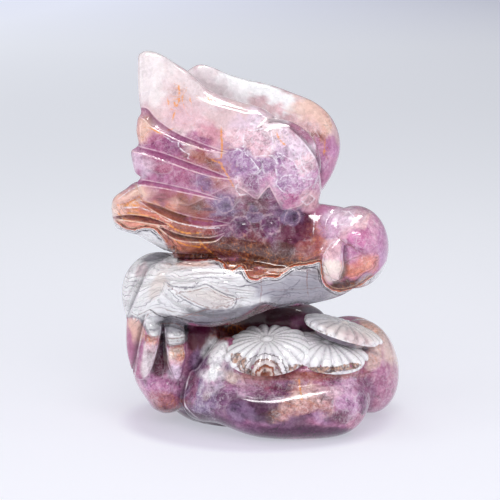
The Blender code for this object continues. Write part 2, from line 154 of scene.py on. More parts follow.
# %% [markdown]
# ## Lumps and limbs
#
# Nearly every rounded form of the carving is one of two things. A lump is a squashed ball, such as the head.
# A limb is a tube whose thickness changes along a smooth line, such as a toe. Both are closed shapes that
# may overlap, because they are fused into one skin later. That is easier to shape than one big mesh that is
# pushed about by hand.

# %% Lumps and limbs
TUBE_SIDES = 32
stone_forms = bmesh.new()


def smooth_line(points, steps, closed=False):
    """A Catmull-Rom curve through the points, whatever number of values each one has."""
    points = np.array(points, float)
    count = len(points)
    line = []
    for i in range(count if closed else count - 1):
        near = [i + k if closed else min(max(i + k, 0), count - 1) for k in (-1, 0, 1, 2)]
        a, b, c, d = (points[k % count] for k in near)
        for t in np.linspace(0, 1, steps, endpoint=False):
            bend = (2 * a - 5 * b + 4 * c - d) * t**2 + (3 * b - a - 3 * c + d) * t**3
            line.append(b + 0.5 * ((c - a) * t + bend))
    if not closed:
        line.append(points[-1])
    return np.array(line)


def add_lump(centre, radii, lean=0):
    """A rounded boss: radii across, deep and high, leaning clockwise in the view by degrees."""
    turn = Matrix.Rotation(math.radians(lean), 4, "Y")
    size = Matrix.Diagonal((*(r * MM for r in radii), 1))
    place = Matrix.Translation(seen(*centre)) @ turn @ size
    bmesh.ops.create_icosphere(stone_forms, subdivisions=4, radius=1, matrix=place)


def dome_section(ring, angle):
    """A smaller section past the end of a limb, so that the end is a dome."""
    spot, along, side, deep = ring
    reach = min(side.length, deep.length) * math.sin(angle)
    return spot + along * reach, side * math.cos(angle), deep * math.cos(angle)


def join_loops(bm, loops):
    """A closed skin over loops that have one number of vertices."""
    for here, there in zip(loops, loops[1:]):
        for k in range(len(here)):
            after = (k + 1) % len(here)
            bm.faces.new((here[k], here[after], there[after], there[k]))
    bm.faces.new(reversed(loops[0]))
    bm.faces.new(loops[-1])


def add_limb(stations):
    """A rounded limb. Each station is pixel across, pixel down, depth, radius in the view, radius in depth."""
    path = smooth_line(stations, 8)
    spots = [seen(*row[:3]) for row in path]
    rings = []
    for i, (spot, row) in enumerate(zip(spots, path)):
        along = (spots[min(i + 1, len(spots) - 1)] - spots[max(i - 1, 0)]).normalized()
        side = along.cross(LOOK).normalized()
        deep = side.cross(along).normalized()
        rings.append((spot, along, side * row[3] * MM, deep * row[4] * MM))
    caps = [math.radians(angle) for angle in (25, 45, 65, 80)]
    sections = [dome_section(rings[0], -angle) for angle in reversed(caps)]
    sections += [(spot, side, deep) for spot, _, side, deep in rings]
    sections += [dome_section(rings[-1], angle) for angle in caps]
    turns = np.linspace(0, 2 * math.pi, TUBE_SIDES, endpoint=False)
    join_loops(stone_forms, [
        [stone_forms.verts.new(spot + side * math.cos(t) + deep * math.sin(t)) for t in turns]
        for spot, side, deep in sections
    ])


# %% [markdown]
# ## The rock under the bird
#
# The rock is the lowest third of the stone: a broad boulder in front, a lobe at each side and a shelf for the
# rosettes. The carver left it as soft swellings with valleys between them, so big lumps and short thick limbs
# that overlap make it well. The part behind the rosettes stands up in the middle and carries the bird.

# %% The rock
ROCK_LUMPS = [
    ((268, 386, 5), (32, 18, 14.2), 0), ((365, 366, 6), (10, 14, 14.2), -12), ((349, 350, 12), (12, 10, 10.4), 0),
    ((200, 258, 6), (9, 6, 3.2), 0), ((300, 372, 13), (19, 13, 13), 0), ((212, 372, 12), (17, 13, 14), 0),
    ((238, 322, 13), (17, 9, 11), 0), ((284, 322, 12), (13, 8, 6.5), 0),
]
LEFT_BOULDER = [
    (159, 330, 2.5, 7.6, 10.5), (159, 350, 2.5, 8.2, 11.5), (161, 370, 2, 8.2, 13.5), (167, 388, 2, 6.9, 13),
]
TOE_BOULDER = [(197, 338, 0, 7, 7), (194, 364, 0, 7.6, 8.5), (188, 390, -1, 6, 8)]
FRONT_BOULDER = [
    (206, 400, -7, 6.3, 8), (226, 401, -11, 6.8, 9), (260, 411, -15, 7.4, 9.5), (300, 411, -16, 8.1, 9.5),
    (334, 406, -13, 8.6, 9.5), (345, 400, -9, 6.9, 8),
]
BOULDER_SHOULDER = [(225, 355, -3, 4.4, 9), (219, 374, -7, 6.6, 9.5), (208, 397, -8, 6.4, 8.5)]
ROSETTE_SHELF = [(236, 367, -6, 6, 8), (265, 374, -8, 6.8, 10), (305, 377, -8, 6.4, 10), (338, 370, -5, 6.2, 10)]
for lump in ROCK_LUMPS:
    add_lump(*lump)
for boulder in [LEFT_BOULDER, TOE_BOULDER, FRONT_BOULDER, BOULDER_SHOULDER, ROSETTE_SHELF]:
    add_limb(boulder)
print("rock:", len(stone_forms.faces), "faces so far")

# %% [markdown]
# ## Belly, legs, body and head
#
# The agate log in the middle is the eagle's belly and thigh. Its foot comes down over the left of the rock
# with three long toes, and a second leg stands behind. The body is a thick limb that leads to the round head,
# and the beak is a drop that hangs in front of it.

# %% Belly, legs, body and head
BELLY = [
    (168, 290, -6, 7, 8), (190, 292.5, -9, 9.5, 9), (225, 292, -10, 9.5, 9.5), (262, 284, -7, 7.6, 11),
    (300, 279, -4, 7.6, 11.5), (330, 273, -3, 7.4, 10), (350, 268, -4, 6, 8),
]
FAR_THIGH = [(178, 284, 9, 6, 6), (205, 288, 10, 8, 7), (240, 288, 9, 7.6, 7), (270, 282, 6, 6, 7)]
NEAR_FOOT = [(163, 284, -7, 6.4, 7), (152, 299, -8, 6.2, 7), (149, 312, -7.5, 6, 6.5)]
FAR_LEG = [
    (182, 270, 7, 4.5, 6), (154, 266, 9, 4.1, 5), (139, 280, 10, 4.4, 5), (137, 300, 10, 4.4, 5),
    (143, 320, 10, 4.6, 6),
]
TOES = [
    [(136, 318, -7, 2.7, 4), (135, 334, -8, 2.6, 4), (134, 350, -8, 2.1, 3.6), (135, 366, -8, 1.3, 2.4)],
    [(154, 320, -10, 2.6, 4), (150.5, 337, -11.5, 3, 4), (146.3, 356, -12, 3, 3.8), (141.5, 371, -12, 2.6, 3)],
    [
        (174.5, 330, -10, 2.9, 4), (175.5, 345, -11.5, 3, 4), (176.5, 360, -12, 2.6, 3.8),
        (177.5, 374, -11.5, 1.5, 2.6),
    ],
    [(139, 318, 12, 2.8, 4), (141, 336, 13, 2.6, 4), (145, 354, 14, 2.3, 3.4), (150, 368, 13, 1.2, 2.4)],
    [(160, 318, 13, 2.8, 4), (164, 336, 14, 2.6, 4), (167, 352, 15, 2.3, 3.4), (169, 366, 15, 1.2, 2.4)],
]
BODY = [
    (185, 232, 3, 6.6, 9), (215, 236, 2, 7.8, 11), (250, 240, 1, 10.4, 12.5), (285, 242, 0, 12.4, 13.5),
    (315, 245, -1, 12.2, 12.5), (338, 247, -3, 11.7, 11.5),
]
HEAD = ((355, 247, -5), (9.7, 11, 12), 0)
BEAK = [
    (337.5, 245.5, -12.6, 2.2, 2.6), (333.5, 253.5, -13.8, 3, 3.1), (332, 263, -14.4, 3.3, 3.3),
    (332.3, 269.5, -14, 3.1, 3.1), (333.5, 274, -13.4, 2.4, 2.6),
]
SHOULDERS = [((275, 163, -8), (13, 7.6, 12.6), 12), ((285, 163, 14), (14, 8.5, 13), 12)]
for limb in [BELLY, FAR_THIGH, NEAR_FOOT, FAR_LEG, *TOES, BODY, BEAK]:
    add_limb(limb)
for lump in [HEAD, *SHOULDERS]:
    add_lump(*lump)
print("with the bird's body:", len(stone_forms.faces), "faces so far")

# %% [markdown]
# ## Wings and tail
#
# A wing is a broad blade: its outline matters most, and its thickness swells towards the shoulder. Such a
# form could be a subdivided cage, but then every notch in the outline needs its own loops. Here the outline
# is drawn, filled with triangles, and given a front and a back. The thickness at each point comes from a thin
# plate that bends through a few measured places, as a sheet of steel would.

# %% A blade of stone
FILL_STEP_PX = 4.0
INNER_ROWS_PX = (0.8, 2.2)
EDGE_CLEAR_PX = 0.6
CHUNK = 20000


def away_from_line(points, start, end):
    """How far each point lies from the nearest of the pieces start to end, in pixels."""
    run = (end - start)[None]
    nearest = []
    for some in np.array_split(points, len(points) // CHUNK + 1):
        share = ((some[:, None] - start) * run).sum(2) / (run**2).sum(2)
        foot = start + run * np.clip(share, 0, 1)[..., None]
        nearest.append(np.linalg.norm(some[:, None] - foot, axis=2).min(1))
    return np.concatenate(nearest)


def spread(points, stations):
    """Smooth values at points: the thin plate that passes through stations of across, down and values."""
    stations = np.array(stations, float)
    knots, values = stations[:, :2], stations[:, 2:]

    def plate(places):
        gap = np.linalg.norm(places[:, None] - knots[None], axis=2) + 1e-9
        return np.hstack([gap**2 * np.log(gap), np.ones((len(places), 1)), places])

    known = plate(knots)
    count = len(knots)
    system = np.zeros((count + 3, count + 3))
    system[:count] = known
    system[count:, :count] = known[:, count:].T
    weights = np.linalg.solve(system, np.vstack([values, np.zeros((3, values.shape[1]))]))
    return plate(points) @ weights


def within(points, outline):
    """Which points lie inside a closed line."""
    x, y = outline[:, 0], outline[:, 1]
    nx, ny = np.roll(x, -1), np.roll(y, -1)
    rise = np.where(ny == y, 1, ny - y)
    px, py = points[:, :1], points[:, 1:]
    cuts = ((y > py) != (ny > py)) & (px < x + (py - y) / rise * (nx - x))
    return cuts.sum(1) % 2 == 1


def moved_inwards(outline, step):
    """The outline moved inwards by a step in pixels."""
    along = np.roll(outline, -1, axis=0) - np.roll(outline, 1, axis=0)
    along /= np.linalg.norm(along, axis=1, keepdims=True)
    following = np.roll(outline, -1, axis=0)
    area = (outline[:, 0] * following[:, 1] - outline[:, 1] * following[:, 0]).sum()
    return outline + np.stack([-along[:, 1], along[:, 0]], axis=1) * math.copysign(step, area)


def add_blade(corners, stations):
    """A blade with that outline. Each station is a pixel, then depth, half thickness and edge rounding."""
    outline = smooth_line(corners, 6, closed=True)
    ends = np.roll(outline, -1, axis=0)
    spans = [np.arange(a, b, FILL_STEP_PX) for a, b in zip(outline.min(0), outline.max(0))]
    grid = np.stack(np.meshgrid(*spans), axis=-1).reshape(-1, 2)
    fill = np.concatenate([grid, *(moved_inwards(outline, step) for step in INNER_ROWS_PX)])
    fill = fill[within(fill, outline)]
    fill = fill[away_from_line(fill, outline, ends) > EDGE_CLEAR_PX]
    flat = [Vector(spot) for spot in np.concatenate([outline, fill])]
    made = delaunay_2d_cdt(flat, [], [list(range(len(outline)))], 1, 1e-4)
    spots = np.array([tuple(spot) for spot in made[0]])
    edge = away_from_line(spots, outline, ends)
    depth, half, rounding = spread(spots, stations).T
    share = 1 - np.clip(edge * PIXEL / MM / rounding, 0, 1)
    half = half * np.sqrt(np.clip(1 - share**2, 0, 1))
    front = [stone_forms.verts.new(seen(*spot, d - h)) for spot, d, h in zip(spots, depth, half)]
    back = [
        front[i] if edge[i] < 1e-3 else stone_forms.verts.new(seen(*spots[i], depth[i] + half[i]))
        for i in range(len(spots))
    ]
    for face in made[2]:
        stone_forms.faces.new([front[i] for i in face])
        stone_forms.faces.new([back[i] for i in reversed(face)])


# %% [markdown]
# The near wing is swept up and back, and its left edge has a notch wherever a groove between two feathers
# runs out. The far wing shows behind it, from its rounded front to the tip. The tail leaves the body at the
# left, under the wings.

# %% Tail and wings
TAIL = [
    (111, 206), (114, 197), (125, 189), (140, 181), (175, 188), (215, 198), (242, 222), (240, 252), (215, 258),
    (190, 258.5), (173, 254), (159, 247.5), (148, 241.5), (136, 235), (124, 231.5), (116, 228), (112.5, 218),
]
TAIL_BODY = [
    (113, 210, 0, 4.4, 4), (120, 228, 0, 4.4, 3), (140, 190, 0, 6, 4), (150, 240, 1, 7.4, 4), (180, 225, 1, 9.4, 6),
    (230, 230, 2, 9.8, 6), (215, 256, 1, 8.4, 4),
]
NEAR_WING = [
    (137.5, 58), (142, 52), (148, 50.4), (160, 53.5), (174, 62), (188, 71), (200, 82), (211, 91), (240, 101.5),
    (262, 108), (281, 121), (304, 144), (315, 158), (320.5, 178), (321, 193), (314, 212), (290, 228), (260, 232),
    (226, 226), (202, 221), (171, 211), (143, 201.5), (138, 190), (137.5, 181), (141.5, 177.5), (135, 173),
    (132, 162), (130.7, 151), (138, 145), (136, 131), (137.5, 118), (141, 113.5), (139.5, 105), (137.5, 86),
]
NEAR_WING_BODY = [
    (146, 56, -1, 2.6, 2.4), (140, 90, -3, 2.6, 2), (175, 70, -1, 3, 3.5), (138, 150, -7, 2.6, 2),
    (140, 195, -8, 2.6, 2), (190, 125, -6, 4.2, 4), (230, 105, -4, 4, 4), (250, 150, -7, 6.2, 7),
    (290, 150, -6, 6, 8), (318, 180, -4, 6, 7), (285, 190, -6, 7, 9), (290, 225, -2, 6, 6), (225, 215, -5, 5, 4),
    (180, 205, -7, 3.4, 2.4), (200, 180, -8, 4, 3),
]
FAR_WING = [
    (188, 70), (195, 65.5), (202, 64), (214, 67.5), (229, 74), (248, 79.5), (269, 84), (294, 93), (314, 101.5),
    (329, 114), (338, 130), (340.5, 146), (338, 160), (332, 175), (324, 187), (308, 205), (270, 212), (225, 200),
    (190, 185), (164, 168), (156, 140), (158, 110), (170, 84),
]
FAR_WING_BODY = [
    (195, 72, 10, 2.6, 3), (230, 82, 12, 4, 5), (270, 95, 13, 5, 7), (315, 118, 14, 6.5, 9), (325, 160, 13, 7, 8),
    (200, 120, 14, 4, 4), (165, 140, 15, 3, 2.4), (200, 180, 14, 4, 3), (260, 180, 13, 7, 8), (290, 205, 10, 6, 6),
]
for corners, stations in [(TAIL, TAIL_BODY), (NEAR_WING, NEAR_WING_BODY), (FAR_WING, FAR_WING_BODY)]:
    add_blade(corners, stations)
print("with tail and wings:", len(stone_forms.faces), "faces")

# %% [markdown]
# ## Fusing the forms and polishing the blank
#
# All forms overlap, as clay does before it is smoothed. A voxel remesh takes their common outside as one
# closed skin, and a few smoothing passes round the joints as polishing does. The voxels are fine enough for
# the feathers, and the loose faces inside the stone disappear with the remesh.

# %% The polished blank
GRAIN = 0.00042
POLISH_PASSES = 7
BLANK_DROP = 0.5
ROSETTE_BLANK = 0.93
DOME_POWER = 2.2
DOME_SHARES = (0.05, 0.25, 0.45, 0.65, 0.8, 0.92)
DOME_FOOT = [(0.95, 0.1), (0.84, -0.5), (0.66, -2.6)]

# Rosettes: middle, radius, rise, lean to the viewer, lean to the right, rays, turn
ROSETTES = [
    ((267.5, 350, -10), 12.7, 3.5, 15, -3, 20, 0.05), ((326, 352.5, -6), 12.2, 3.2, 9, 7, 21, 0.2),
    ((342.5, 330, -3.5), 11.9, 2, -4, 17, 21, 0.1),
]


def applied(mesh, *modifiers):
    """A new mesh: this one after modifiers, each given as a type and its settings."""
    worker = linked("worker", mesh)
    for kind, settings in modifiers:
        modifier = worker.modifiers.new(kind.lower(), kind)
        for name, value in settings.items():
            setattr(modifier, name, value)
    graph = bpy.context.evaluated_depsgraph_get()
    made = bpy.data.meshes.new_from_object(worker.evaluated_get(graph))
    bpy.data.objects.remove(worker)
    return made


def rosette_place(centre, lean, aside):
    """The matrix that sets a rosette down: it leans to the viewer and to the right, by degrees."""
    turn = Matrix.Rotation(math.radians(aside), 4, "Y") @ Matrix.Rotation(math.radians(lean), 4, "X")
    return Matrix.Translation(seen(*centre)) @ turn


def add_rosette_blank(centre, radius, rise, lean, aside, *_):
    """The plain low dome that fills the inside of a rosette."""
    place = rosette_place(centre, lean, aside) @ Matrix.Translation((0, 0, -BLANK_DROP * MM))
    profile = [(share, rise * (1 - share**DOME_POWER)) for share in DOME_SHARES] + DOME_FOOT
    turns = np.linspace(0, 2 * math.pi, 2 * TUBE_SIDES, endpoint=False)
    size = radius * ROSETTE_BLANK
    join_loops(stone_forms, [
        [
            stone_forms.verts.new(place @ (Vector((r * size * math.cos(t), r * size * math.sin(t), z)) * MM))
            for t in turns
        ]
        for r, z in reversed(profile)
    ])


for rosette in ROSETTES:
    add_rosette_blank(*rosette)
bmesh.ops.recalc_face_normals(stone_forms, faces=stone_forms.faces)
forms = bpy.data.meshes.new("forms")
stone_forms.to_mesh(forms)
stone_forms.free()
blank = applied(
    forms,
    ("REMESH", {"mode": "VOXEL", "voxel_size": GRAIN}),
    ("SMOOTH", {"factor": 0.5, "iterations": POLISH_PASSES}),
)
print("polished blank:", len(blank.vertices), "vertices")

# %% [markdown]
# ## Cutting the feathers, the toes and the face
#
# A carver cuts a feather with a wheel: a steep wall on one side and a long slope on the other. The same cut
# is made here by pressing each vertex into the stone by a depth that depends on how far it lies from a line.
# A boolean with a wedge would do it too, but the pressed cut ends softly and follows the swelling of the
# wing. Each point of a line gives the place, the width and the depth, and a negative depth raises a ridge.

# %% Cutting tools
NEAR, FAR = -1, 1
EVEN = 1.0
SIDE_RAMP = 3
WALL_SHARE = 0.2
FLOOR_RISE = 0.6
EDGE_PX = 1.4
GROOVE_POWER = 0.8
WAVES = 6


def wobble(points, size, seed):
    """A smooth unrest between about -1 and 1, with swells of that size in millimetres."""
    waves = np.random.default_rng(seed)
    total = np.zeros(len(points))
    for _ in range(WAVES):
        direction = waves.normal(size=3)
        direction *= waves.uniform(0.7, 1.6) / np.linalg.norm(direction)
        total += np.sin(points @ direction / (size * MM) * math.pi + waves.uniform(0, 2 * math.pi))
    return total / (WAVES / 2)


def smooth_step(value):
    value = np.clip(value, 0, 1)
    return value * value * (3 - 2 * value)


def points_and_normals(mesh):
    points = np.empty(len(mesh.vertices) * 3, np.float32)
    normals = np.empty(len(mesh.vertices) * 3, np.float32)
    mesh.vertices.foreach_get("co", points)
    mesh.vertices.foreach_get("normal", normals)
    return points.reshape(-1, 3).astype(float), normals.reshape(-1, 3).astype(float)


def facing(points, normals, side, depths):
    """How far each vertex belongs to one side of the stone, between two depths in millimetres."""
    low, high = (limit * MM for limit in depths)
    between = (points[:, 1] > low) & (points[:, 1] < high)
    return np.clip(normals[:, 1] * side * SIDE_RAMP, 0, 1) * between


def groove_depths(flat, line, wall):
    """How deep a cut is at each vertex. The wall above the line takes that share of the cut's width."""
    path = smooth_line(line, 8)
    reach = path[:, 2].max()
    low, high = path[:, :2].min(0) - reach, path[:, :2].max(0) + reach
    close = np.flatnonzero(((flat > low) & (flat < high)).all(1))
    depths = np.zeros(len(flat))
    spots = flat[close]
    gap = np.linalg.norm(spots[:, None] - path[None, :, :2], axis=2)
    nearest = gap.argmin(1)
    along = np.gradient(path[:, :2], axis=0)[nearest]
    offset = spots - path[nearest, :2]
    below = offset[:, 1] * along[:, 0] - offset[:, 0] * along[:, 1] > 0
    width = path[nearest, 2] * np.where(below, 1, wall)
    depths[close] = path[nearest, 3] * np.clip(1 - gap.min(1) / width, 0, 1) ** GROOVE_POWER
    return depths


def line_offset(flat, line):
    """Pixels from a line, positive on the right hand of its direction, and pixels past its nearer end."""
    start, run = line[:-1], line[1:] - line[:-1]
    lengths = np.linalg.norm(run, axis=1)
    offsets, beyond = [], []
    for some in np.array_split(flat, len(flat) // CHUNK + 1):
        away = some[:, None] - start
        share = (away * run).sum(2) / lengths**2
        gap = np.linalg.norm(away - run * np.clip(share, 0, 1)[..., None], axis=2)
        nearest = gap.argmin(1)
        rows = np.arange(len(some))
        side = run[nearest, 0] * away[rows, nearest, 1] - run[nearest, 1] * away[rows, nearest, 0]
        offsets.append(np.copysign(gap[rows, nearest], side))
        beyond.append(np.abs(share - np.clip(share, 0, 1))[rows, nearest] * lengths[nearest])
    return np.concatenate(offsets), np.concatenate(beyond)


def band_offsets(flat, band):
    """Pixels below a band's upper line and above its lower line. Both are positive inside the band."""
    upper, lower = (smooth_line(line, 4) for line in band)
    return line_offset(flat, upper)[0], -line_offset(flat, lower)[0]


def band_depths(flat, band, slope):
    """A cut with a steep wall at its upper line and a long floor that rises to its lower line."""
    corners = np.vstack(band)
    close = np.flatnonzero(((flat > corners.min(0) - 2) & (flat < corners.max(0) + 2)).all(1))
    depths = np.zeros(len(flat))
    if len(close):
        below, above = band_offsets(flat[close], band)
        inside = (below > 0) & (above > 0)
        width = np.where(inside, below + above, 1)
        share = np.where(inside, below / width, 0)
        floor = np.clip(share / WALL_SHARE, 0, 1) * (1 - FLOOR_RISE * share) * np.clip(above / EDGE_PX, 0, 1)
        depths[close] = slope * width * PIXEL / MM * floor * inside
    return depths


def press(mesh, depth_at):
    """Moves each vertex into the stone by the depth in millimetres that depth_at gives it."""
    points, normals = points_and_normals(mesh)
    points -= normals * (depth_at(points, normals) * MM)[:, None]
    mesh.vertices.foreach_set("co", points.ravel())
    mesh.update()


def boss_depths(flat, boss, _):
    """A low round boss: it is raised, so its depths are negative."""
    x, y, radius, height = boss
    return -height * np.clip(1 - np.hypot(flat[:, 0] - x, flat[:, 1] - y) ** 2 / radius**2, 0, 1)


def cut_shapes(mesh, shapes, depths_of, setting, side, depths):
    """Presses some shapes of one kind at once. Where two of them meet, the stronger one counts."""
    def depth_at(points, normals):
        flat = pixels_of(points)
        cuts = np.array([depths_of(flat, shape, setting) for shape in shapes])
        strongest = np.abs(cuts).argmax(0)
        return cuts[strongest, np.arange(len(flat))] * facing(points, normals, side, depths)

    press(mesh, depth_at)


print("cutting tools: grooves, bands and bosses")

# %% [markdown]
# First come low bosses where rounded crystals stand in the body, then three long wing grooves, the tail's
# grooves and the slit under it. The wing's upper edge carries two thin raised ridges that catch the light.
# The feet get gaps between the toes and shallow creases over the knuckles, and the face gets its brow, the
# ring of the eye and the crease round the beak.

# %% Feathers, toes and face
CRYSTALS = [
    (241, 226, 13, 0.7), (270, 224, 13, 0.6), (292, 217, 10, 0.4), (225, 205, 10, 0.4), (255, 208, 8, 0.4),
    (255, 250, 12, 0.5), (283, 247, 13, 0.5), (222, 246, 10, 0.5), (307, 247, 11, 0.4), (359.5, 237, 5, 0.3),
]
WING_BANDS = [
    (
        [
            (130, 109), (140, 107.5), (147.8, 109), (156.2, 118.6), (167, 127), (179, 134.2), (192, 140),
            (207, 146), (222, 151), (229, 153),
        ],
        [
            (130, 113), (143, 118.5), (150.8, 126.5), (164.6, 133.8), (178, 140.6), (192, 146), (209, 151),
            (229, 153.2),
        ],
    ),
    (
        [(125, 139), (140, 147), (161, 152.7), (184, 161), (203.5, 168), (226, 176.6), (233, 179)],
        [
            (125, 149), (144, 154.5), (157, 158.8), (174, 164.4), (192, 170.8), (207, 175.4), (221, 178.4),
            (233, 179.2),
        ],
    ),
    (
        [(125, 176), (137, 179), (154, 182.2), (175.4, 186.6), (195, 191.5), (213, 197), (222, 200)],
        [(125, 182), (143, 185.4), (161, 188), (179, 191.6), (197, 195.4), (214, 199), (222, 200.2)],
    ),
]
WING_RIDGES = [
    [(160, 73, 2.5, -0.2), (170, 81, 3, -0.35), (181, 90, 2.5, -0.2)],
    [(195, 99, 3, -0.2), (212, 106, 4, -0.45), (232, 111, 4, -0.4), (249, 115, 3, -0.2)],
]
TAIL_BANDS = [
    (
        [(139, 200.6), (157, 205), (172.5, 211.5), (192, 217.5), (212, 220.5), (229, 224)],
        [(139, 201.2), (155.6, 212.3), (167, 218), (178, 222.5), (203.5, 226.8), (229, 224.4)],
    ),
    (
        [(112, 216.5), (120.5, 215.5), (130.3, 215), (147, 217), (161, 221.4), (168, 225)],
        [(112, 219.5), (120.5, 220), (130.3, 221), (144.4, 223), (160, 225.5), (168, 226)],
    ),
    (
        [(158, 227), (165.5, 229), (177.6, 234), (193, 237.2), (210.6, 238), (224, 234)],
        [(158, 227.5), (171, 237.5), (182, 241), (199.6, 242.4), (215, 241.4), (224, 234.4)],
    ),
]
TAIL_CREASES = [
    [(117, 205, 2.5, 0.3), (128, 202, 3, 0.8), (140, 196.5, 3, 0.8)],
    [(122, 210, 2, 0.2), (137, 209, 2, 0.35), (154, 214, 2, 0.2)],
    [(172, 226, 2, 0.2), (190, 230, 2, 0.35), (212, 232, 2, 0.2)],
    [(174, 247, 2, 0.2), (192, 248, 2, 0.3), (210, 246, 2, 0.2)],
]
SLIT_UNDER_TAIL = [
    [(172, 256, 4, 1.6), (181, 258.5, 5, 2.6), (195, 259.5, 5, 3), (214, 259, 4, 1.6), (228, 261, 2, 0.3)],
]
TOE_BANDS = [
    (
        [(163.5, 322), (165, 335), (166.5, 349), (168.5, 362), (172, 374), (171, 382), (163, 388)],
        [(162.5, 322), (161, 332), (157.5, 349), (153, 364), (150, 375), (152, 383), (163, 388)],
    ),
    (
        [(170, 386), (177, 382), (182.5, 373), (185, 361.4), (185.8, 345), (185, 333)],
        [(170, 386), (181, 384), (190, 374), (193, 362), (191, 346), (186, 333)],
    ),
]
LEG_BANDS = [
    ([(172.6, 255.5), (150, 269), (142.6, 284), (129, 315.7)], [(169, 248), (143, 262), (134, 281), (119, 312)]),
]
TOE_CREASES = [
    [(147, 313, 2, 0.3), (141, 334, 2.5, 0.9), (137, 355, 2.5, 0.9), (133, 374, 2.5, 0.6)],
    [(146, 316, 3, 0.8), (158, 323, 3, 1.2), (172, 324, 3, 1.2), (186, 329, 3, 0.9)],
]
KNUCKLE_CREASES = [
    [(146, 322, 2, 0.2), (153, 324, 2, 0.5), (161, 328, 2, 0.2)],
    [(144, 327.5, 2, 0.2), (152, 330, 2, 0.5), (161, 332.5, 2, 0.2)],
    [(143, 334, 2, 0.2), (151, 337, 2, 0.45), (160, 336.5, 2, 0.2)],
    [(166, 332, 2, 0.2), (174, 332.5, 2, 0.5), (183, 331, 2, 0.2)],
    [(166, 337.5, 2, 0.2), (174, 338, 2, 0.5), (184, 337, 2, 0.2)],
    [(166, 344, 2, 0.2), (176, 345, 2, 0.5), (185, 342, 2, 0.2)],
]
HEAD_CUTS = [
    [(341, 208, 3, 0.4), (330, 213.5, 5, 1), (325, 223, 5, 1.3), (327, 234, 5, 1.3), (322, 246, 4, 1.2)],
    [(322, 268, 4, 1.2), (328, 280, 4, 1.2), (337, 284, 4, 0.9), (348, 283, 3, 0.3)],
    [(342, 278, 3, 0.8), (345.5, 267, 3.5, 1), (346, 255, 3.5, 0.8), (343.5, 244, 3, 0.6)],
    [(346, 242, 3, 0.5), (350, 245, 4, 1), (356, 249, 3, 0.7), (364, 252, 4, 1.1), (370, 257, 3, 0.5)],
    [(352, 231, 3, 0.3), (356, 230, 4, 0.6), (364, 231, 4, 0.6), (367, 236, 3, 0.4)],
]
BACK_FACE_CUTS = [[(341, 210, 3, 0.4), (330, 216, 5, 1), (327, 234, 5, 1.2), (326, 260, 5, 1)]]

# Shapes, their tool and its setting, then the side of the stone and the depths between which they are cut
CUTS = [
    (CRYSTALS, boss_depths, None, NEAR, (-30, 2)), (WING_BANDS, band_depths, 0.62, NEAR, (-30, 2)),
    (WING_BANDS, band_depths, 0.62, FAR, (10, 30)), (TAIL_BANDS, band_depths, 0.8, NEAR, (-30, 0)),
    (TAIL_BANDS, band_depths, 0.8, FAR, (4, 16)), (TOE_BANDS, band_depths, 0.34, NEAR, (-30, 2)),
    (LEG_BANDS, band_depths, 0.3, NEAR, (-30, 14)), (WING_RIDGES, groove_depths, EVEN, NEAR, (-30, 4)),
    (TAIL_CREASES, groove_depths, EVEN, NEAR, (-30, 0)), (SLIT_UNDER_TAIL, groove_depths, EVEN, NEAR, (-30, 2)),
    (TOE_CREASES, groove_depths, EVEN, NEAR, (-30, 2)), (KNUCKLE_CREASES, groove_depths, EVEN, NEAR, (-30, -4)),
    (HEAD_CUTS, groove_depths, EVEN, NEAR, (-30, 0)), (BACK_FACE_CUTS, groove_depths, EVEN, FAR, (-4, 20)),
]
for cut in CUTS:
    cut_shapes(blank, *cut)
print("carved", sum(len(shapes) for shapes, *_ in CUTS), "shapes in", len(CUTS), "rounds")

# %% [markdown]
# The agate of the belly isn't quite smooth. It swells along its layers, as weathered wood does. So the last
# cut is a soft ripple, long along the log and short across it.

# %% Ripples along the belly
RIPPLE = 0.24
RIPPLE_LENGTH = 1.7
RIPPLE_STRETCH = (0.3, 1, 1)
BELLY_AREA = (134, 318, 260, 318)
AREA_EDGE_PX = 7


def ripple_depths(points, normals):
    flat = pixels_of(points)
    left, right, top, bottom = BELLY_AREA
    inside = np.min([flat[:, 0] - left, right - flat[:, 0], flat[:, 1] - top, bottom - flat[:, 1]], axis=0)
    waves = wobble(points * RIPPLE_STRETCH, RIPPLE_LENGTH, 31)
    return RIPPLE * waves * smooth_step(inside / AREA_EDGE_PX) * facing(points, normals, NEAR, (-30, 2))


press(blank, ripple_depths)
print("rippled the belly by up to", RIPPLE, "mm")

# %% [markdown]
# ## Grinding the foot flat
#
# The carving stands on a flat that was ground on a wheel. Everything below the ground is cut away and the
# hole is closed. Before that the mesh is thinned: a collapse keeps small triangles where the stone curves and
# large ones where it is nearly flat, so the piece stays light.

# %% Thinning and grinding
STONE_TRIANGLES = 120000
stone = applied(
    blank,
    ("TRIANGULATE", {}),
    ("DECIMATE", {"ratio": min(1, STONE_TRIANGLES / (2 * len(blank.polygons)))}),
)
ground = bmesh.new()
ground.from_mesh(stone)
bmesh.ops.bisect_plane(
    ground, geom=[*ground.verts, *ground.edges, *ground.faces], dist=1e-6,
    plane_co=(0, 0, 0), plane_no=(0, 0, 1), clear_inner=True,
)
rim = [edge for edge in ground.edges if edge.is_boundary]
bmesh.ops.triangle_fill(ground, edges=rim, use_beauty=True, normal=(0, 0, -1))
bmesh.ops.triangulate(ground, faces=[face for face in ground.faces if len(face.verts) > 3])
bmesh.ops.recalc_face_normals(ground, faces=ground.faces)
ground.to_mesh(stone)
ground.free()
print("ground stone:", len(stone.polygons), "triangles")

# %% [markdown]
# ## Node helpers
#
# Both the rosettes and the finishes are built from nodes. A few short helpers place a node, set or link its
# inputs and hand back its output. A sum or a product of two outputs places a Math node, so that each tree
# further on reads like a formula.

# %% Node helpers


class Wire:
    """One output of a node. Sums, products and powers of wires place Math nodes."""

    def __init__(self, socket):
        self.socket, self.tree = socket, socket.id_data

    def __getitem__(self, name):
        """Another output of the same node."""
        return Wire(self.socket.node.outputs[name])

    def __abs__(self):
        return maths("ABSOLUTE", self)


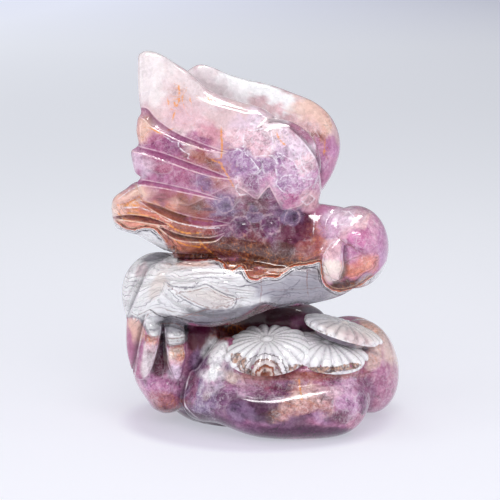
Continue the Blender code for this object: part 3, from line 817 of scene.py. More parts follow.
def feed(sockets, values):
    """Gives each named input its wire, or its plain value."""
    for key, value in dict(values).items():
        if isinstance(value, Wire):
            value.tree.links.new(value.socket, sockets[key])
        else:
            sockets[key].default_value = value


def add_node(tree, kind, inputs=(), **settings):
    """Places a node and gives back its first output."""
    node = tree.nodes.new(kind)
    for name, value in settings.items():
        setattr(node, name, value)
    feed(node.inputs, inputs)
    return Wire(node.outputs[0])


def tree_of(*values):
    return next(value.tree for value in values if isinstance(value, Wire))


def maths(operation, *values):
    return add_node(tree_of(*values), "ShaderNodeMath", enumerate(values), operation=operation)


def times_plus(value, factor, more):
    return maths("MULTIPLY_ADD", value, factor, more)


def joined(x, y, z):
    return add_node(tree_of(x, y, z), "ShaderNodeCombineXYZ", {"X": x, "Y": y, "Z": z})


def split(vector):
    parts = add_node(vector.tree, "ShaderNodeSeparateXYZ", {"Vector": vector})
    return [parts[axis] for axis in "XYZ"]


def vector_maths(operation, vector, other):
    """other is the second vector, or the factor of a SCALE."""
    second = "Scale" if operation == "SCALE" else 1
    return add_node(vector.tree, "ShaderNodeVectorMath", {0: vector, second: other}, operation=operation)


def length(vector):
    return add_node(vector.tree, "ShaderNodeVectorMath", {0: vector}, operation="LENGTH")["Value"]


def new_tree(name, kind, inputs, outputs, output_kind="Float"):
    """A node tree with named inputs, given as name, socket kind and value, and named outputs."""
    tree = bpy.data.node_groups.new(name, kind)
    for title, socket, value in inputs:
        made = tree.interface.new_socket(title, in_out="INPUT", socket_type="NodeSocket" + socket)
        if value is not None:
            made.default_value = value
    for title in outputs:
        tree.interface.new_socket(title, in_out="OUTPUT", socket_type="NodeSocket" + output_kind)
    given = [Wire(socket) for socket in tree.nodes.new("NodeGroupInput").outputs[:len(inputs)]]
    return tree, given, tree.nodes.new("NodeGroupOutput").inputs


for name, operation in {
    "add": "ADD", "sub": "SUBTRACT", "mul": "MULTIPLY", "truediv": "DIVIDE", "pow": "POWER",
}.items():
    setattr(Wire, f"__{name}__", lambda self, other, kind=operation: maths(kind, self, other))
    setattr(Wire, f"__r{name}__", lambda self, other, kind=operation: maths(kind, other, self))
print("a wire can be added, subtracted, multiplied, divided and raised to a power")

# %% [markdown]
# ## The rosettes, grown by rule
#
# Each rosette is a shallow dome of about twenty rounded rays round a small button. The rays all follow one
# rule, so Geometry Nodes make them: one ball is stretched into a ray that widens outwards, the ray is placed
# again and again round the middle with slightly different lengths, and everything is bent over a dome. The
# number of rays, the radius and the rise are inputs of the tree, so that the three rosettes can differ.

# %% The rosette tree
RAY_TAPER = 0.4
SWAY = 0.05
STRETCH = (0.94, 1.04)
CORE_SHARE, CORE_DEPTH = 0.95, 1.1
BUTTON_SHAPE = (1.15, 1.15, 0.75)


def dome_height(reach, radius, rise):
    """How high the dome stands at a distance from its middle."""
    return rise * (1 - (reach / radius) ** DOME_POWER)


def moved(shape, position):
    return add_node(shape.tree, "GeometryNodeSetPosition", {"Geometry": shape, "Position": position})


def ball(tree, radius=1.0):
    return add_node(tree, "GeometryNodeMeshIcoSphere", {"Radius": radius, "Subdivisions": 4})


def position(tree):
    return split(add_node(tree, "GeometryNodeInputPosition"))


def varied(tree, low, high, seed):
    """A random number for each ray."""
    return add_node(tree, "FunctionNodeRandomValue", {2: low, 3: high, "Seed": seed}, data_type="FLOAT")[1]


def rosette_tree():
    tree, given, result = new_tree("rosette", "GeometryNodeTree", [
        ("Geometry", "Geometry", None), ("Rays", "Int", 20), ("Radius", "Float", 0.012),
        ("Rise", "Float", 0.003), ("Button", "Float", 0.0016), ("Plumpness", "Float", 0.0015),
        ("Fullness", "Float", 0.53), ("Seed", "Int", 1), ("Stone", "Material", None),
    ], ["Geometry"], "Geometry")
    _, count, radius, rise, button, plump, fullness, seed, finish = given

    x, y, z = position(tree)
    share = times_plus(x, 0.5, 0.5)
    reach = times_plus(share, radius - button, button)
    blunt = (1.02 - x * x) ** -0.3
    across = y * blunt * (reach * math.pi / count * fullness)
    thick = plump * times_plus(share, 1 - RAY_TAPER, RAY_TAPER)
    high = times_plus(z * blunt, thick, dome_height(reach, radius, rise))
    ray = moved(ball(tree), joined(reach, across * 2, high))

    step = 2 * math.pi / count
    sway = varied(tree, -SWAY, SWAY, seed)
    turn = joined(0, 0, times_plus(add_node(tree, "GeometryNodeInputIndex"), step, sway))
    rays = add_node(tree, "GeometryNodeInstanceOnPoints", {
        "Points": add_node(tree, "GeometryNodePoints", {"Count": count}), "Instance": ray,
        "Rotation": turn, "Scale": joined(varied(tree, *STRETCH, seed + 7), 1, 1),
    })

    wide = radius * CORE_SHARE
    along, aside = x * wide, y * wide
    level = dome_height(length(joined(along, aside, 0)), radius, rise) - plump * CORE_DEPTH
    core = moved(ball(tree), joined(along, aside, times_plus(z, plump, level)))
    bead = add_node(tree, "GeometryNodeTransform", {
        "Geometry": ball(tree, button), "Translation": joined(0, 0, rise), "Scale": BUTTON_SHAPE,
    })

    both = add_node(tree, "GeometryNodeJoinGeometry")
    for shape in (bead, core, rays):
        feed(both.socket.node.inputs, {0: shape})
    real = add_node(tree, "GeometryNodeRealizeInstances", {0: both})
    feed(result, {"Geometry": add_node(tree, "GeometryNodeSetMaterial", {"Geometry": real, "Material": finish})})
    return tree


ROSETTE_TREE = rosette_tree()
print("rosette tree:", len(ROSETTE_TREE.nodes), "nodes")

# %% [markdown]
# The tree runs once for each rosette, on an empty object, and its result is taken as a plain mesh. A finer
# remesh of its own fuses rays and button, and a union joins the rosette to the rock. The union keeps the
# rosette's own material slot, so that its agate ends exactly where the rock begins.

# %% Grow the rosettes and join them to the stone
ROSETTE_GRAIN = 0.00024
ROSETTE_TRIANGLES = 26000
ROSETTE_POLISH_PASSES = 9
BUTTON_SHARE = 0.1
PLUMPNESS, PLUMPNESS_PER_RISE = 0.45, 0.36
STONE_SLOT, ROSETTE_SLOT = 0, 1
amethyst_finish = bpy.data.materials.new("amethyst_and_lace_agate")
rosette_finish = bpy.data.materials.new("rosette_agate")


def grown_rosette(centre, radius, rise, lean, aside, rays, turn, seed):
    seedling = linked("seedling", bpy.data.meshes.new("seedling"))
    growth = seedling.modifiers.new("growth", "NODES")
    growth.node_group = ROSETTE_TREE
    sockets = {item.name: item.identifier for item in ROSETTE_TREE.interface.items_tree if item.in_out == "INPUT"}
    for name, value in {
        "Rays": rays, "Radius": radius * MM, "Rise": rise * MM, "Button": radius * BUTTON_SHARE * MM,
        "Plumpness": (PLUMPNESS + PLUMPNESS_PER_RISE * rise) * MM, "Seed": seed, "Stone": rosette_finish,
    }.items():
        growth[sockets[name]] = value
    graph = bpy.context.evaluated_depsgraph_get()
    loose = bpy.data.meshes.new_from_object(seedling.evaluated_get(graph))
    bpy.data.objects.remove(seedling)
    fused = applied(
        loose,
        ("REMESH", {"mode": "VOXEL", "voxel_size": ROSETTE_GRAIN}),
        ("SMOOTH", {"factor": 0.5, "iterations": ROSETTE_POLISH_PASSES}),
    )
    fused = applied(
        fused, ("TRIANGULATE", {}), ("DECIMATE", {"ratio": min(1, ROSETTE_TRIANGLES / (2 * len(fused.polygons)))})
    )
    fused.transform(rosette_place(centre, lean, aside) @ Matrix.Rotation(turn, 4, "Z"))
    return fused


def give_slots(mesh, slot):
    mesh.materials.clear()
    mesh.materials.append(amethyst_finish)
    mesh.materials.append(rosette_finish)
    mesh.polygons.foreach_set("material_index", [slot] * len(mesh.polygons))


give_slots(stone, STONE_SLOT)
for seed, rosette in enumerate(ROSETTES, start=1):
    bloom = grown_rosette(*rosette, seed)
    give_slots(bloom, ROSETTE_SLOT)
    carrier = linked("bloom", bloom)
    carrier.hide_render = True
    stone = applied(stone, ("BOOLEAN", {"operation": "UNION", "object": carrier, "solver": "MANIFOLD"}))
    bpy.data.objects.remove(carrier)
    print("rosette", seed, "joined:", len(bloom.polygons), "triangles of its own,", len(stone.polygons), "in all")

# %% [markdown]
# ## Painting the layers: the tools
#
# The colours of the stone follow its natural layers and clouds, not the carved forms. They are stored on the
# vertices in two ways. A soft wash of colour is painted as a painter would, one stain over another, each a
# leaning oval with a ragged edge. Borders that must be sharp are stored as a distance in millimetres instead,
# and the material draws its thin bands from that distance, as fine as it likes.

# %% Painting tools
TEAR_FULL_PX = 15
STAIN_END, STAIN_FADE = 1.22, 0.5
LEFT_END, RIGHT_END, TOP_END = -200, 700, -900

# Height in pixels and size in millimetres of the waves that tear the stains' edges
TEAR_WAVES = [(9, 7), (5, 2.6), (3, 1.2)]


def linear(code):
    """The linear colour of an #rrggbb code."""
    parts = [int(code[k:k + 2], 16) / 255 for k in (1, 3, 5)]
    return np.array([c / 12.92 if c < 0.04045 else ((c + 0.055) / 1.055) ** 2.4 for c in parts])


def in_oval(flat, across, down, wide, high, lean):
    """Places in a leaning oval, from its middle, as shares of its half width and half height."""
    turn = math.radians(lean)
    x, y = flat[:, 0] - across, flat[:, 1] - down
    return (x * math.cos(turn) + y * math.sin(turn)) / wide, (y * math.cos(turn) - x * math.sin(turn)) / high


def stain_share(flat, across, down, wide, high, lean, strength):
    """How strongly a stain covers each vertex. Its oval edge is torn by up to a few pixels."""
    torn = flat + tear * min(1, min(wide, high) / TEAR_FULL_PX) ** 2
    reach = np.hypot(*in_oval(torn, across, down, wide, high, lean))
    return strength * smooth_step((STAIN_END - reach) / STAIN_FADE)


def inside_by(flat, outline, starts, ends):
    """Millimetres from the lines that run from starts to ends, negative outside the outline."""
    distance = away_from_line(flat, starts, ends) * PIXEL / MM
    inside = np.concatenate([within(some, outline) for some in np.array_split(flat, len(flat) // CHUNK + 1)])
    return np.where(inside, distance, -distance)


def above_border(flat, border, rounded=True):
    """Millimetres above a line that crosses the stone from left to right. Below it they are negative."""
    line = smooth_line(border, 4) if rounded else np.array(border, float)
    line = np.vstack([[LEFT_END, line[0, 1]], line, [RIGHT_END, line[-1, 1]]])
    outline = np.vstack([line, [[RIGHT_END, TOP_END], [LEFT_END, TOP_END]]])
    return inside_by(flat, outline, line[:-1], line[1:])


def store(mesh, name, values):
    """Keeps one number for each vertex, or one colour."""
    if values.ndim == 1:
        layer = mesh.attributes.new(name, "FLOAT", "POINT")
        layer.data.foreach_set("value", values.astype(np.float32))
        return
    layer = mesh.color_attributes.new(name, "FLOAT_COLOR", "POINT")
    opaque = np.hstack([values, np.ones((len(values), 1))])
    layer.data.foreach_set("color", opaque.astype(np.float32).ravel())


points, normals = points_and_normals(stone)
flat = pixels_of(points)
ragged = 0.6 * wobble(points, 9, 3) + 0.4 * wobble(points, 3, 4)
tear = np.stack([
    sum(height * wobble(points, size, seed + k) for k, (height, size) in enumerate(TEAR_WAVES))
    for seed in (40, 50)
], axis=1)
print("ready to paint", len(points), "vertices")

# %% [markdown]
# ## The borders of the layers
#
# Three borders divide the stone. The upper one parts amethyst from agate and is scalloped, with thin bands
# beside it. The lower one parts agate from the amethyst of the rock, and runs through the toes. The third is
# the zigzag of crystal points between the pale shoulder and the dark body.

# %% Borders
UPPER_BORDER = [
    (106, 215), (113, 220.5), (120, 226), (127, 230), (134, 231), (141, 229), (147, 228), (153, 229.5), (158, 233),
    (162, 238), (166, 244), (169, 250), (174, 256.5), (181, 260.5), (197, 261.5), (213, 260), (222, 264),
    (225, 270), (231, 272.5), (237, 270), (240, 266), (243, 269), (245.5, 275), (249, 279.5), (257, 281),
    (264, 278.5), (270, 277), (276, 278), (284, 273.5), (290, 269.5), (296, 266.5), (305, 265.8), (313, 264.5),
    (319.5, 263), (320.5, 272), (322, 281), (327, 287.5), (336, 292), (346, 291.3), (359.5, 286.5), (368, 281),
    (376, 274), (383, 266), (390, 256),
]
LOWER_BORDER = [
    (110, 318), (128, 317), (139, 319), (146, 330), (150, 337.5), (157, 338.5), (161, 333), (162.6, 325),
    (164.4, 325), (166, 341), (169, 345), (176, 345.5), (185, 342), (187, 336), (188.5, 323), (202, 325),
    (222, 322.5), (238, 317), (250, 310), (260, 304.5), (270, 304.5), (284, 307.5), (297, 303.5), (309, 304.5),
    (321, 303), (338, 300), (355, 291), (372, 284), (400, 268),
]
SHOULDER_BORDER = [
    (120, 205), (190, 205), (224, 188), (232, 184), (244, 190), (257, 200), (263, 192), (269.5, 185), (275, 196),
    (282.5, 210), (292, 208), (301, 205.5), (309, 194), (317, 200), (330, 204), (352, 206),
]
above_agate, above_rock = above_border(flat, UPPER_BORDER), above_border(flat, LOWER_BORDER)
store(stone, "above_agate", above_agate)
store(stone, "above_rock", above_rock)
store(stone, "above_zigzag", above_border(flat, SHOULDER_BORDER, rounded=False))
print("stored 3 borders, the longest of", len(UPPER_BORDER), "points")

# %% [markdown]
# ## The lines of the agate
#
# The thin lines of lace agate are like the height lines of a map. One number, the level, rises from top to
# bottom through the layer, and the material draws a line wherever it passes a step. A hill in the level
# closes the lines to rings, which is what makes the long almond on the thigh.

# %% Levels of the agate
LEVEL_HILLS = [
    (204, 298, 34, 9, 8, 5.2), (224, 297, 14, 6, 8, 1.5), (160, 296, 12, 24, 20, 2.5), (332, 268, 20, 14, -20, -3),
    (262, 330, 40, 16, 0, -3), (150, 262, 14, 8, -10, 2),
]
level = (flat[:, 1] - VIEW_CENTRE_PX) * PIXEL / MM
for *oval, height in LEVEL_HILLS:
    u, v = in_oval(flat, *oval)
    level += height * np.exp(-(u**2 + v**2))
ALMOND = [
    (166, 290), (176, 285), (192, 285.5), (206, 284), (222, 291), (236, 299.5), (234, 306), (229, 309.5),
    (212, 311.5), (194, 307), (179, 300.5),
]
ALMOND_LEVEL = 12.0
ALMOND_REACH, ALMOND_BLEND = 1.9, 1.4
outline = np.array(ALMOND, float)
almond = inside_by(flat, outline, outline, np.roll(outline, -1, axis=0))
follows = smooth_step((almond + ALMOND_REACH) / ALMOND_BLEND)
level = level * (1 - follows) + (ALMOND_LEVEL + almond) * follows
store(stone, "level", level)
print(f"agate levels run over {level.max() - level.min():.0f} mm")

# %% [markdown]
# ## The wash of colour
#
# The palette has the colours of amethyst and agate as a maker would name them. The wing tips are almost
# white, the shoulder is violet, the body is dark purple that turns to brown, and the tail is salmon. The
# agate is white and grey. The rock is mauve with plum shadows and a cream cloud. The far wing has its own
# stains, because it stands behind the near one. A few stains paint light and shade instead of colour: a
# highlight on the far wing and on the head, and shade under the belly, the tail and the rosettes.

# %% Palette and stains
PALETTE = {
    "quartz white": "#e9dedf", "pale rose": "#d9bcc0", "rose": "#e6b9c2", "dusty pink": "#d08f9c",
    "orchid": "#c383ab", "mauve": "#b06c8f", "pale lilac": "#e0c8da", "lilac": "#c495ba", "violet": "#a377a3",
    "smoke violet": "#82688d", "purple": "#7d4a74", "deep purple": "#682b44", "deep orchid": "#a4577d",
    "old rose": "#aa6371", "plum": "#96446f", "dark plum": "#48213f", "wine": "#5a1836", "black wine": "#4a3236",
    "umber": "#552a26", "umber rose": "#a55f58", "rust": "#a4503a", "salmon": "#e2967f", "peach": "#ecc2b2",
    "cream": "#fbe6db", "cream pink": "#e9cbc6", "dusty cream": "#cb9794", "dusk mauve": "#744a6e",
    "purple wine": "#45003a", "coral": "#e2886a", "magenta": "#c66ba2", "agate white": "#f2f1f3",
    "pure white": "#faf9fb", "agate grey": "#aeabb6", "smoke grey": "#6d6975", "agate beige": "#e0cdc4",
}
BIRD_STAINS = [
    ("pale rose", 190, 100, 75, 50, 20, 1), ("quartz white", 152, 72, 24, 30, 0, 1),
    ("quartz white", 186, 82, 34, 9, 38, 0.6), ("pale rose", 250, 128, 48, 24, 20, 1),
    ("rose", 190, 121, 34, 12, 24, 0.6), ("dusty pink", 209, 136, 15, 11, 30, 0.85),
    ("mauve", 178, 148, 44, 12, 22, 1), ("peach", 142, 128, 8, 15, 0, 0.8),
    ("deep orchid", 185, 152, 34, 9, 22, 0.7), ("purple", 178, 145, 13, 8, 30, 0.6),
    ("pale rose", 190, 149, 6, 7, 0, 0.7), ("umber rose", 206, 161, 19, 8, 25, 0.95),
    ("umber", 214, 163, 5, 4, 0, 0.6), ("deep orchid", 178, 171, 46, 12, 18, 1),
    ("pale lilac", 140, 161, 11, 17, 0, 0.7), ("smoke violet", 206, 184, 13, 8, 20, 0.7),
    ("umber rose", 220, 184, 11, 6, 25, 0.9), ("peach", 150, 197, 18, 10, 15, 0.7),
    ("old rose", 168, 200, 18, 9, 15, 0.95), ("umber", 161, 198, 4, 4, 0, 0.6),
    ("umber rose", 192, 205, 24, 9, 15, 1), ("umber", 182, 201, 5, 5, 0, 0.8), ("umber", 197, 206, 8, 6, 10, 0.8),
    ("peach", 174, 204, 5, 6, 0, 0.6), ("smoke violet", 218, 206, 13, 11, 10, 0.8),
    ("deep purple", 266, 226, 56, 26, 0, 1), ("orchid", 288, 174, 36, 36, 0, 0.9),
    ("pale lilac", 262, 130, 34, 18, 20, 0.8), ("violet", 237, 163, 17, 19, -10, 1),
    ("violet", 267, 168, 14, 20, 0, 0.95), ("orchid", 252, 185, 15, 12, 30, 0.8),
    ("violet", 283, 181, 9, 10, 0, 0.7), ("pale lilac", 300, 158, 16, 24, 25, 0.7),
    ("dusty pink", 240, 190, 11, 7, 30, 0.7), ("rose", 308, 200, 9, 7, 0, 0.8),
    ("smoke violet", 289, 217, 13, 8, 0, 0.8), ("wine", 303, 230, 14, 16, 0, 0.9),
    ("purple", 268, 228, 12, 12, 0, 0.6), ("smoke violet", 236, 224, 8, 6, 0, 0.5),
    ("umber", 274, 259, 56, 17, 3, 1), ("umber rose", 256, 239, 8, 8, 0, 0.8),
    ("umber rose", 222, 246, 8, 8, 0, 0.6), ("umber", 286, 246, 9, 8, 0, 0.7), ("rust", 262, 273, 42, 5, 0, 0.7),
    ("wine", 226, 223, 8, 8, 0, 0.8), ("rust", 319, 248, 12, 24, 0, 0.7), ("salmon", 150, 227, 50, 20, 12, 1),
    ("umber rose", 196, 238, 44, 24, 4, 1), ("salmon", 150, 214, 40, 14, 12, 1), ("peach", 128, 197, 20, 9, -28, 1),
    ("rust", 143, 218, 22, 3, 3, 0.8), ("peach", 120, 207, 15, 14, 0, 0.9), ("cream", 113, 212, 7, 12, 0, 0.7),
    ("rust", 196, 226, 30, 9, 8, 0.5), ("umber rose", 192, 227, 26, 8, 8, 0.7), ("umber", 200, 236, 26, 3, 2, 0.8),
    ("umber", 200, 248, 30, 7, 0, 0.5), ("salmon", 182, 246, 14, 6, 5, 0.6), ("umber", 225, 240, 12, 14, 0, 0.7),
]
HEAD_STAINS = [
    ("orchid", 362, 242, 32, 38, 0, 1), ("rose", 360, 226, 26, 16, 0, 0.9), ("rose", 366, 248, 14, 16, 0, 0.4),
    # The pale lilac at 345, 217 is the head's lilac, made paler in part as a painted reflection of the light above.
    ("pale lilac", 345, 217, 17, 9, 8, 0.8), ("rose", 349, 214, 8, 5, 0, 0.6),
    ("pale lilac", 327, 228, 9, 15, 0, 0.8), ("rose", 352, 214, 10, 5, 15, 0.5),
    ("magenta", 361, 239, 14, 10, 10, 0.5), ("plum", 346, 243, 8, 4, 40, 0.6), ("plum", 357, 251, 8, 4, 40, 0.6),
    ("salmon", 350, 262, 12, 10, -30, 0.7), ("coral", 360, 266, 16, 9, -30, 0.7),
    ("salmon", 371, 262, 9, 12, 0, 0.6), ("rust", 349, 273, 9, 3, -12, 0.6), ("coral", 354, 273, 10, 5, -15, 0.5),
    ("lilac", 384, 240, 6, 28, 0, 0.9), ("umber", 345, 286, 19, 6, -10, 1),
    ("agate grey", 364, 281, 10, 5, -35, 0.8), ("pale lilac", 333, 252, 12, 15, 0, 1),
    ("rose", 334, 248, 9, 10, 0, 0.8), ("quartz white", 332.5, 270, 12, 10, 0, 1),
    ("old rose", 318, 232, 9, 20, 0, 0.9), ("salmon", 321, 246, 6, 10, 0, 0.6),
]
AGATE_STAINS = [
    ("agate white", 215, 280, 80, 40, 0, 1), ("agate grey", 300, 290, 42, 20, 0, 0.95),
    ("smoke grey", 306, 290, 34, 10, -8, 0.3), ("pure white", 131, 288, 14, 24, 10, 1),
    ("pure white", 144, 240, 30, 12, 20, 1), ("pure white", 205, 276, 40, 8, 0, 0.5),
    ("agate grey", 240, 286, 34, 12, 0, 0.25), ("agate beige", 206, 298, 24, 9, 8, 0.45),
    # The smoke grey on the far leg under the tail, and the three smoke grey stains along the belly's underside
    # below, are painted shade.
    ("smoke grey", 156, 256, 17, 4, -15, 0.8), ("pale rose", 139, 268, 8, 9, 20, 0.6),
    ("smoke grey", 224, 316, 70, 8, -5, 0.85), ("smoke grey", 212, 326, 60, 6, -3, 0.75),
    ("smoke grey", 280, 306, 36, 5, -6, 0.6), ("peach", 195, 264, 20, 2.5, 0, 0.7),
    ("agate beige", 157, 286, 6, 14, 20, 0.5),
]
ROCK_STAINS = [
    ("mauve", 260, 380, 160, 80, 0, 1), ("orchid", 168, 366, 22, 34, 0, 0.8),
    ("dusk mauve", 258, 408, 92, 24, 0, 0.85), ("peach", 134, 330, 9, 15, 0, 0.8),
    ("mauve", 131, 358, 7, 18, 0, 0.8), ("orchid", 148, 390, 16, 20, 20, 0.8),
    ("old rose", 163, 402, 18, 8, 15, 0.9), ("deep purple", 190, 385, 6, 22, 20, 0.6),
    ("dark plum", 163, 342, 4, 22, 3, 0.9), ("deep purple", 160, 366, 9, 13, 0, 0.95),
    ("quartz white", 148, 356, 7, 24, 9, 0.9), ("dusty pink", 150, 349, 6, 7, 9, 0.5),
    ("coral", 153, 342, 8, 3, 5, 0.6), ("cream", 174, 354, 9, 12, 0, 1), ("salmon", 180, 356, 5, 5, 0, 0.8),
    ("umber rose", 175, 345, 10, 2.5, 0, 0.9), ("dusty pink", 175, 364, 8, 5, 0, 0.7),
    ("pale lilac", 176, 373, 7, 8, 0, 0.9), ("umber", 202, 337, 16, 12, 0, 0.8),
    ("umber", 212, 329, 26, 6, -3, 0.9), ("smoke violet", 200, 360, 9, 14, 15, 0.8),
    ("umber rose", 228, 334, 16, 9, -10, 0.8), ("pure white", 218, 357, 12, 19, -25, 1),
    ("cream", 234, 379, 19, 5, 30, 0.9), ("pure white", 210, 374, 14, 5, 0, 0.8),
    ("smoke violet", 205, 396, 22, 26, 15, 1), ("deep purple", 208, 392, 6, 11, 20, 0.7),
    ("pale lilac", 212, 386, 15, 8, -15, 0.45), ("lilac", 244, 388, 14, 10, 0, 0.8),
    # The umber rose stripe at 300, 377, and the one at 300, 376 at the end of the list, are painted shadow under
    # the rosettes' rims.
    ("umber rose", 300, 377, 62, 5, 0, 0.5), ("old rose", 262, 384, 22, 4, 10, 0.6),
    ("dusty cream", 309, 402, 30, 14, -8, 0.9), ("dusk mauve", 322, 414, 14, 6, 0, 0.7),
    ("lilac", 349, 394, 12, 20, 0, 0.8), ("dark plum", 266, 409, 20, 15, 0, 0.9),
    ("dark plum", 260, 402, 9, 7, 0, 0.9), ("black wine", 273, 413, 7, 9, 20, 0.7),
    ("dark plum", 238, 404, 7, 9, 20, 0.6), ("dark plum", 300, 424, 9, 8, 0, 0.7),
    ("purple", 330, 420, 9, 8, 0, 0.6), ("deep purple", 340, 414, 14, 9, -20, 0.7),
    ("purple wine", 286, 434, 84, 7, 0, 0.95), ("purple wine", 200, 421, 34, 8, 18, 1),
    ("wine", 170, 413, 20, 5, 16, 0.8), ("cream pink", 316, 394, 28, 7, -10, 0.45),
    ("lilac", 318, 418, 9, 9, 0, 0.6), ("smoke violet", 244, 414, 14, 9, 20, 0.5),
    ("purple", 240, 428, 22, 6, 10, 0.6), ("dark plum", 215, 420, 20, 6, 20, 0.6),
    ("cream pink", 379, 343, 22, 26, 30, 0.95), ("peach", 368, 326, 12, 10, 30, 0.8),
    # The wine at 250, 321 and the black wine at 262, 317 are partly the rock's dark colour and partly a painted
    # shade in the recess under the belly.
    ("mauve", 386, 382, 16, 30, 0, 0.9), ("purple", 366, 396, 8, 18, 0, 0.7), ("wine", 250, 321, 72, 13, -6, 0.95),
    ("black wine", 262, 317, 54, 8, -8, 0.8), ("umber", 238, 330, 12, 7, -20, 0.7),
    # The smoke grey at 338, 341 is a painted shadow under the back rosette's rim.
    ("smoke grey", 322, 313, 18, 5, 8, 0.9), ("smoke grey", 338, 341, 40, 4, 17, 0.9),
    ("umber rose", 300, 376, 68, 4, 0, 0.7),
]
# The two pure white stains on the far wing are a painted highlight from the light above.
FAR_WING_STAINS = [
    ("pale rose", 255, 100, 110, 52, 18, 1), ("pure white", 206, 80, 30, 12, 18, 0.6),
    ("pure white", 260, 94, 46, 15, 17, 1), ("peach", 314, 118, 26, 22, 30, 0.8),
    ("rose", 290, 130, 30, 16, 20, 0.6), ("umber rose", 313, 143, 14, 9, 10, 0.9),
    ("orchid", 329, 166, 14, 26, 0, 1), ("magenta", 324, 180, 8, 9, 0, 0.6), ("mauve", 196, 160, 52, 26, 20, 0.9),
]


def wash(start, stains):
    """Paints the stains over a colour, in order."""
    colour = np.tile(linear(PALETTE[start]), (len(flat), 1))
    for name, *oval in stains:
        share = stain_share(flat, *oval)[:, None]
        colour = colour * (1 - share) + linear(PALETTE[name]) * share
    return colour


def chosen(first, second, share):
    """The second colour where share is 1, and the first where it is 0."""
    return first + (second - first) * share[:, None]


# %% [markdown]
# ## Single crystals
#
# On the shoulder, the body and the head single large crystals can be told apart, each with its own colour and
# straight edges against the next. Every vertex takes the colour of the crystal whose middle is nearest, and
# keeps how far the nearest edge is, so that the material can lay a veil along it.

# %% Crystals
CRYSTAL_CELLS = [
    ("violet", 232, 160), ("violet", 245, 166), ("violet", 264, 166), ("orchid", 268, 180), ("purple", 250, 184),
    ("rose", 240, 188), ("lilac", 291, 171), ("lilac", 296, 187), ("magenta", 291, 201), ("violet", 282, 181),
    ("rose", 308, 199), ("rose", 254, 140), ("pale lilac", 282, 141), ("rose", 305, 165), ("rose", 236, 138),
    ("pale lilac", 298, 151), ("orchid", 313, 181), ("pale rose", 270, 127), ("rose", 262, 149),
    ("orchid", 277, 197), ("smoke violet", 226, 206), ("deep purple", 242, 208), ("deep purple", 262, 205),
    ("purple", 241, 226), ("purple", 270, 224), ("smoke violet", 291, 216), ("wine", 304, 231), ("umber", 254, 250),
    ("umber", 283, 250), ("umber", 228, 247), ("umber rose", 306, 250), ("deep purple", 287, 234),
    # The pale lilac cell at 345, 217 is partly a painted reflection on the head.
    ("smoke violet", 254, 213), ("purple", 276, 209), ("deep purple", 255, 232), ("purple", 226, 226),
    ("pale lilac", 345, 217), ("lilac", 330, 228), ("orchid", 374, 224), ("magenta", 359, 239), ("rose", 362, 221),
    ("orchid", 374, 243), ("rose", 333, 250), ("cream", 333, 271), ("orchid", 349, 252),
]
CRYSTAL_REACH_PX, CRYSTAL_FADE_PX = 15, 6
CRYSTAL_BEND_PX = 0.7


def crystal_cells():
    """For each vertex: its crystal's colour, how near it is to that crystal, and millimetres to the edge."""
    spots = np.array([cell[1:] for cell in CRYSTAL_CELLS], float)
    bent = flat + CRYSTAL_BEND_PX * np.stack([wobble(points, 5, 8), wobble(points, 5, 9)], axis=1)
    gaps = np.linalg.norm(bent[:, None] - spots[None], axis=2)
    order = np.argsort(gaps, axis=1)[:, :2]
    first, second = np.take_along_axis(gaps, order, axis=1).T
    between = np.linalg.norm(spots[order[:, 0]] - spots[order[:, 1]], axis=1)
    edge = (second**2 - first**2) / (2 * between) * PIXEL / MM
    colours = np.array([linear(PALETTE[cell[0]]) for cell in CRYSTAL_CELLS])[order[:, 0]]
    return colours, smooth_step((CRYSTAL_REACH_PX - first) / CRYSTAL_FADE_PX), edge


# %% [markdown]
# Now the washes are laid over each other. The head and the far wing cover the bird's own stains, and the
# crystals tint them. The bird's wash ends at the upper border, the rock's begins at the lower one, and the
# agate's shows between the two.

# %% Paint
BORDER_BLEND = 0.3
CELL_SHARE = 0.7
FAR_FROM_MM, WING_FOOT_PX = 2.5, 212
HEAD_LEFT_PX, HEAD_TOP_PX = 318, 203
depth = points[:, 1] / MM
far_share = smooth_step((depth - FAR_FROM_MM) / 2) * smooth_step((WING_FOOT_PX - flat[:, 1]) / 10)
head_share = smooth_step((flat[:, 0] - HEAD_LEFT_PX + 2 * ragged) / 8) * smooth_step((flat[:, 1] - HEAD_TOP_PX) / 5)
bird = chosen(wash("mauve", BIRD_STAINS), wash("orchid", HEAD_STAINS), head_share)
cell_colours, cell_share, cell_edge = crystal_cells()
cell_share *= smooth_step((4 - depth) / 3)
bird += (cell_colours - bird) * (CELL_SHARE * cell_share)[:, None]
bird = chosen(bird, wash("mauve", FAR_WING_STAINS), far_share)
agate = wash("agate white", AGATE_STAINS)
rock = wash("mauve", ROCK_STAINS)
wash_colour = chosen(agate, bird, smooth_step(0.5 + above_agate / BORDER_BLEND))
store(stone, "wash", chosen(wash_colour, rock, smooth_step(0.5 - above_rock / BORDER_BLEND)))
print("painted", sum(map(len, (BIRD_STAINS, HEAD_STAINS, AGATE_STAINS, ROCK_STAINS, FAR_WING_STAINS))), "stains")

# %% [markdown]
# ## Where the stone is rusty, veiled or full of crystals
#
# Iron stains the stone orange along fine cracks, and white veils of trapped water run between the crystals.
# Neither is everywhere. Three more washes tell the material how much of each there is at a place, and a
# fourth says where the bands beside the upper border are strong.

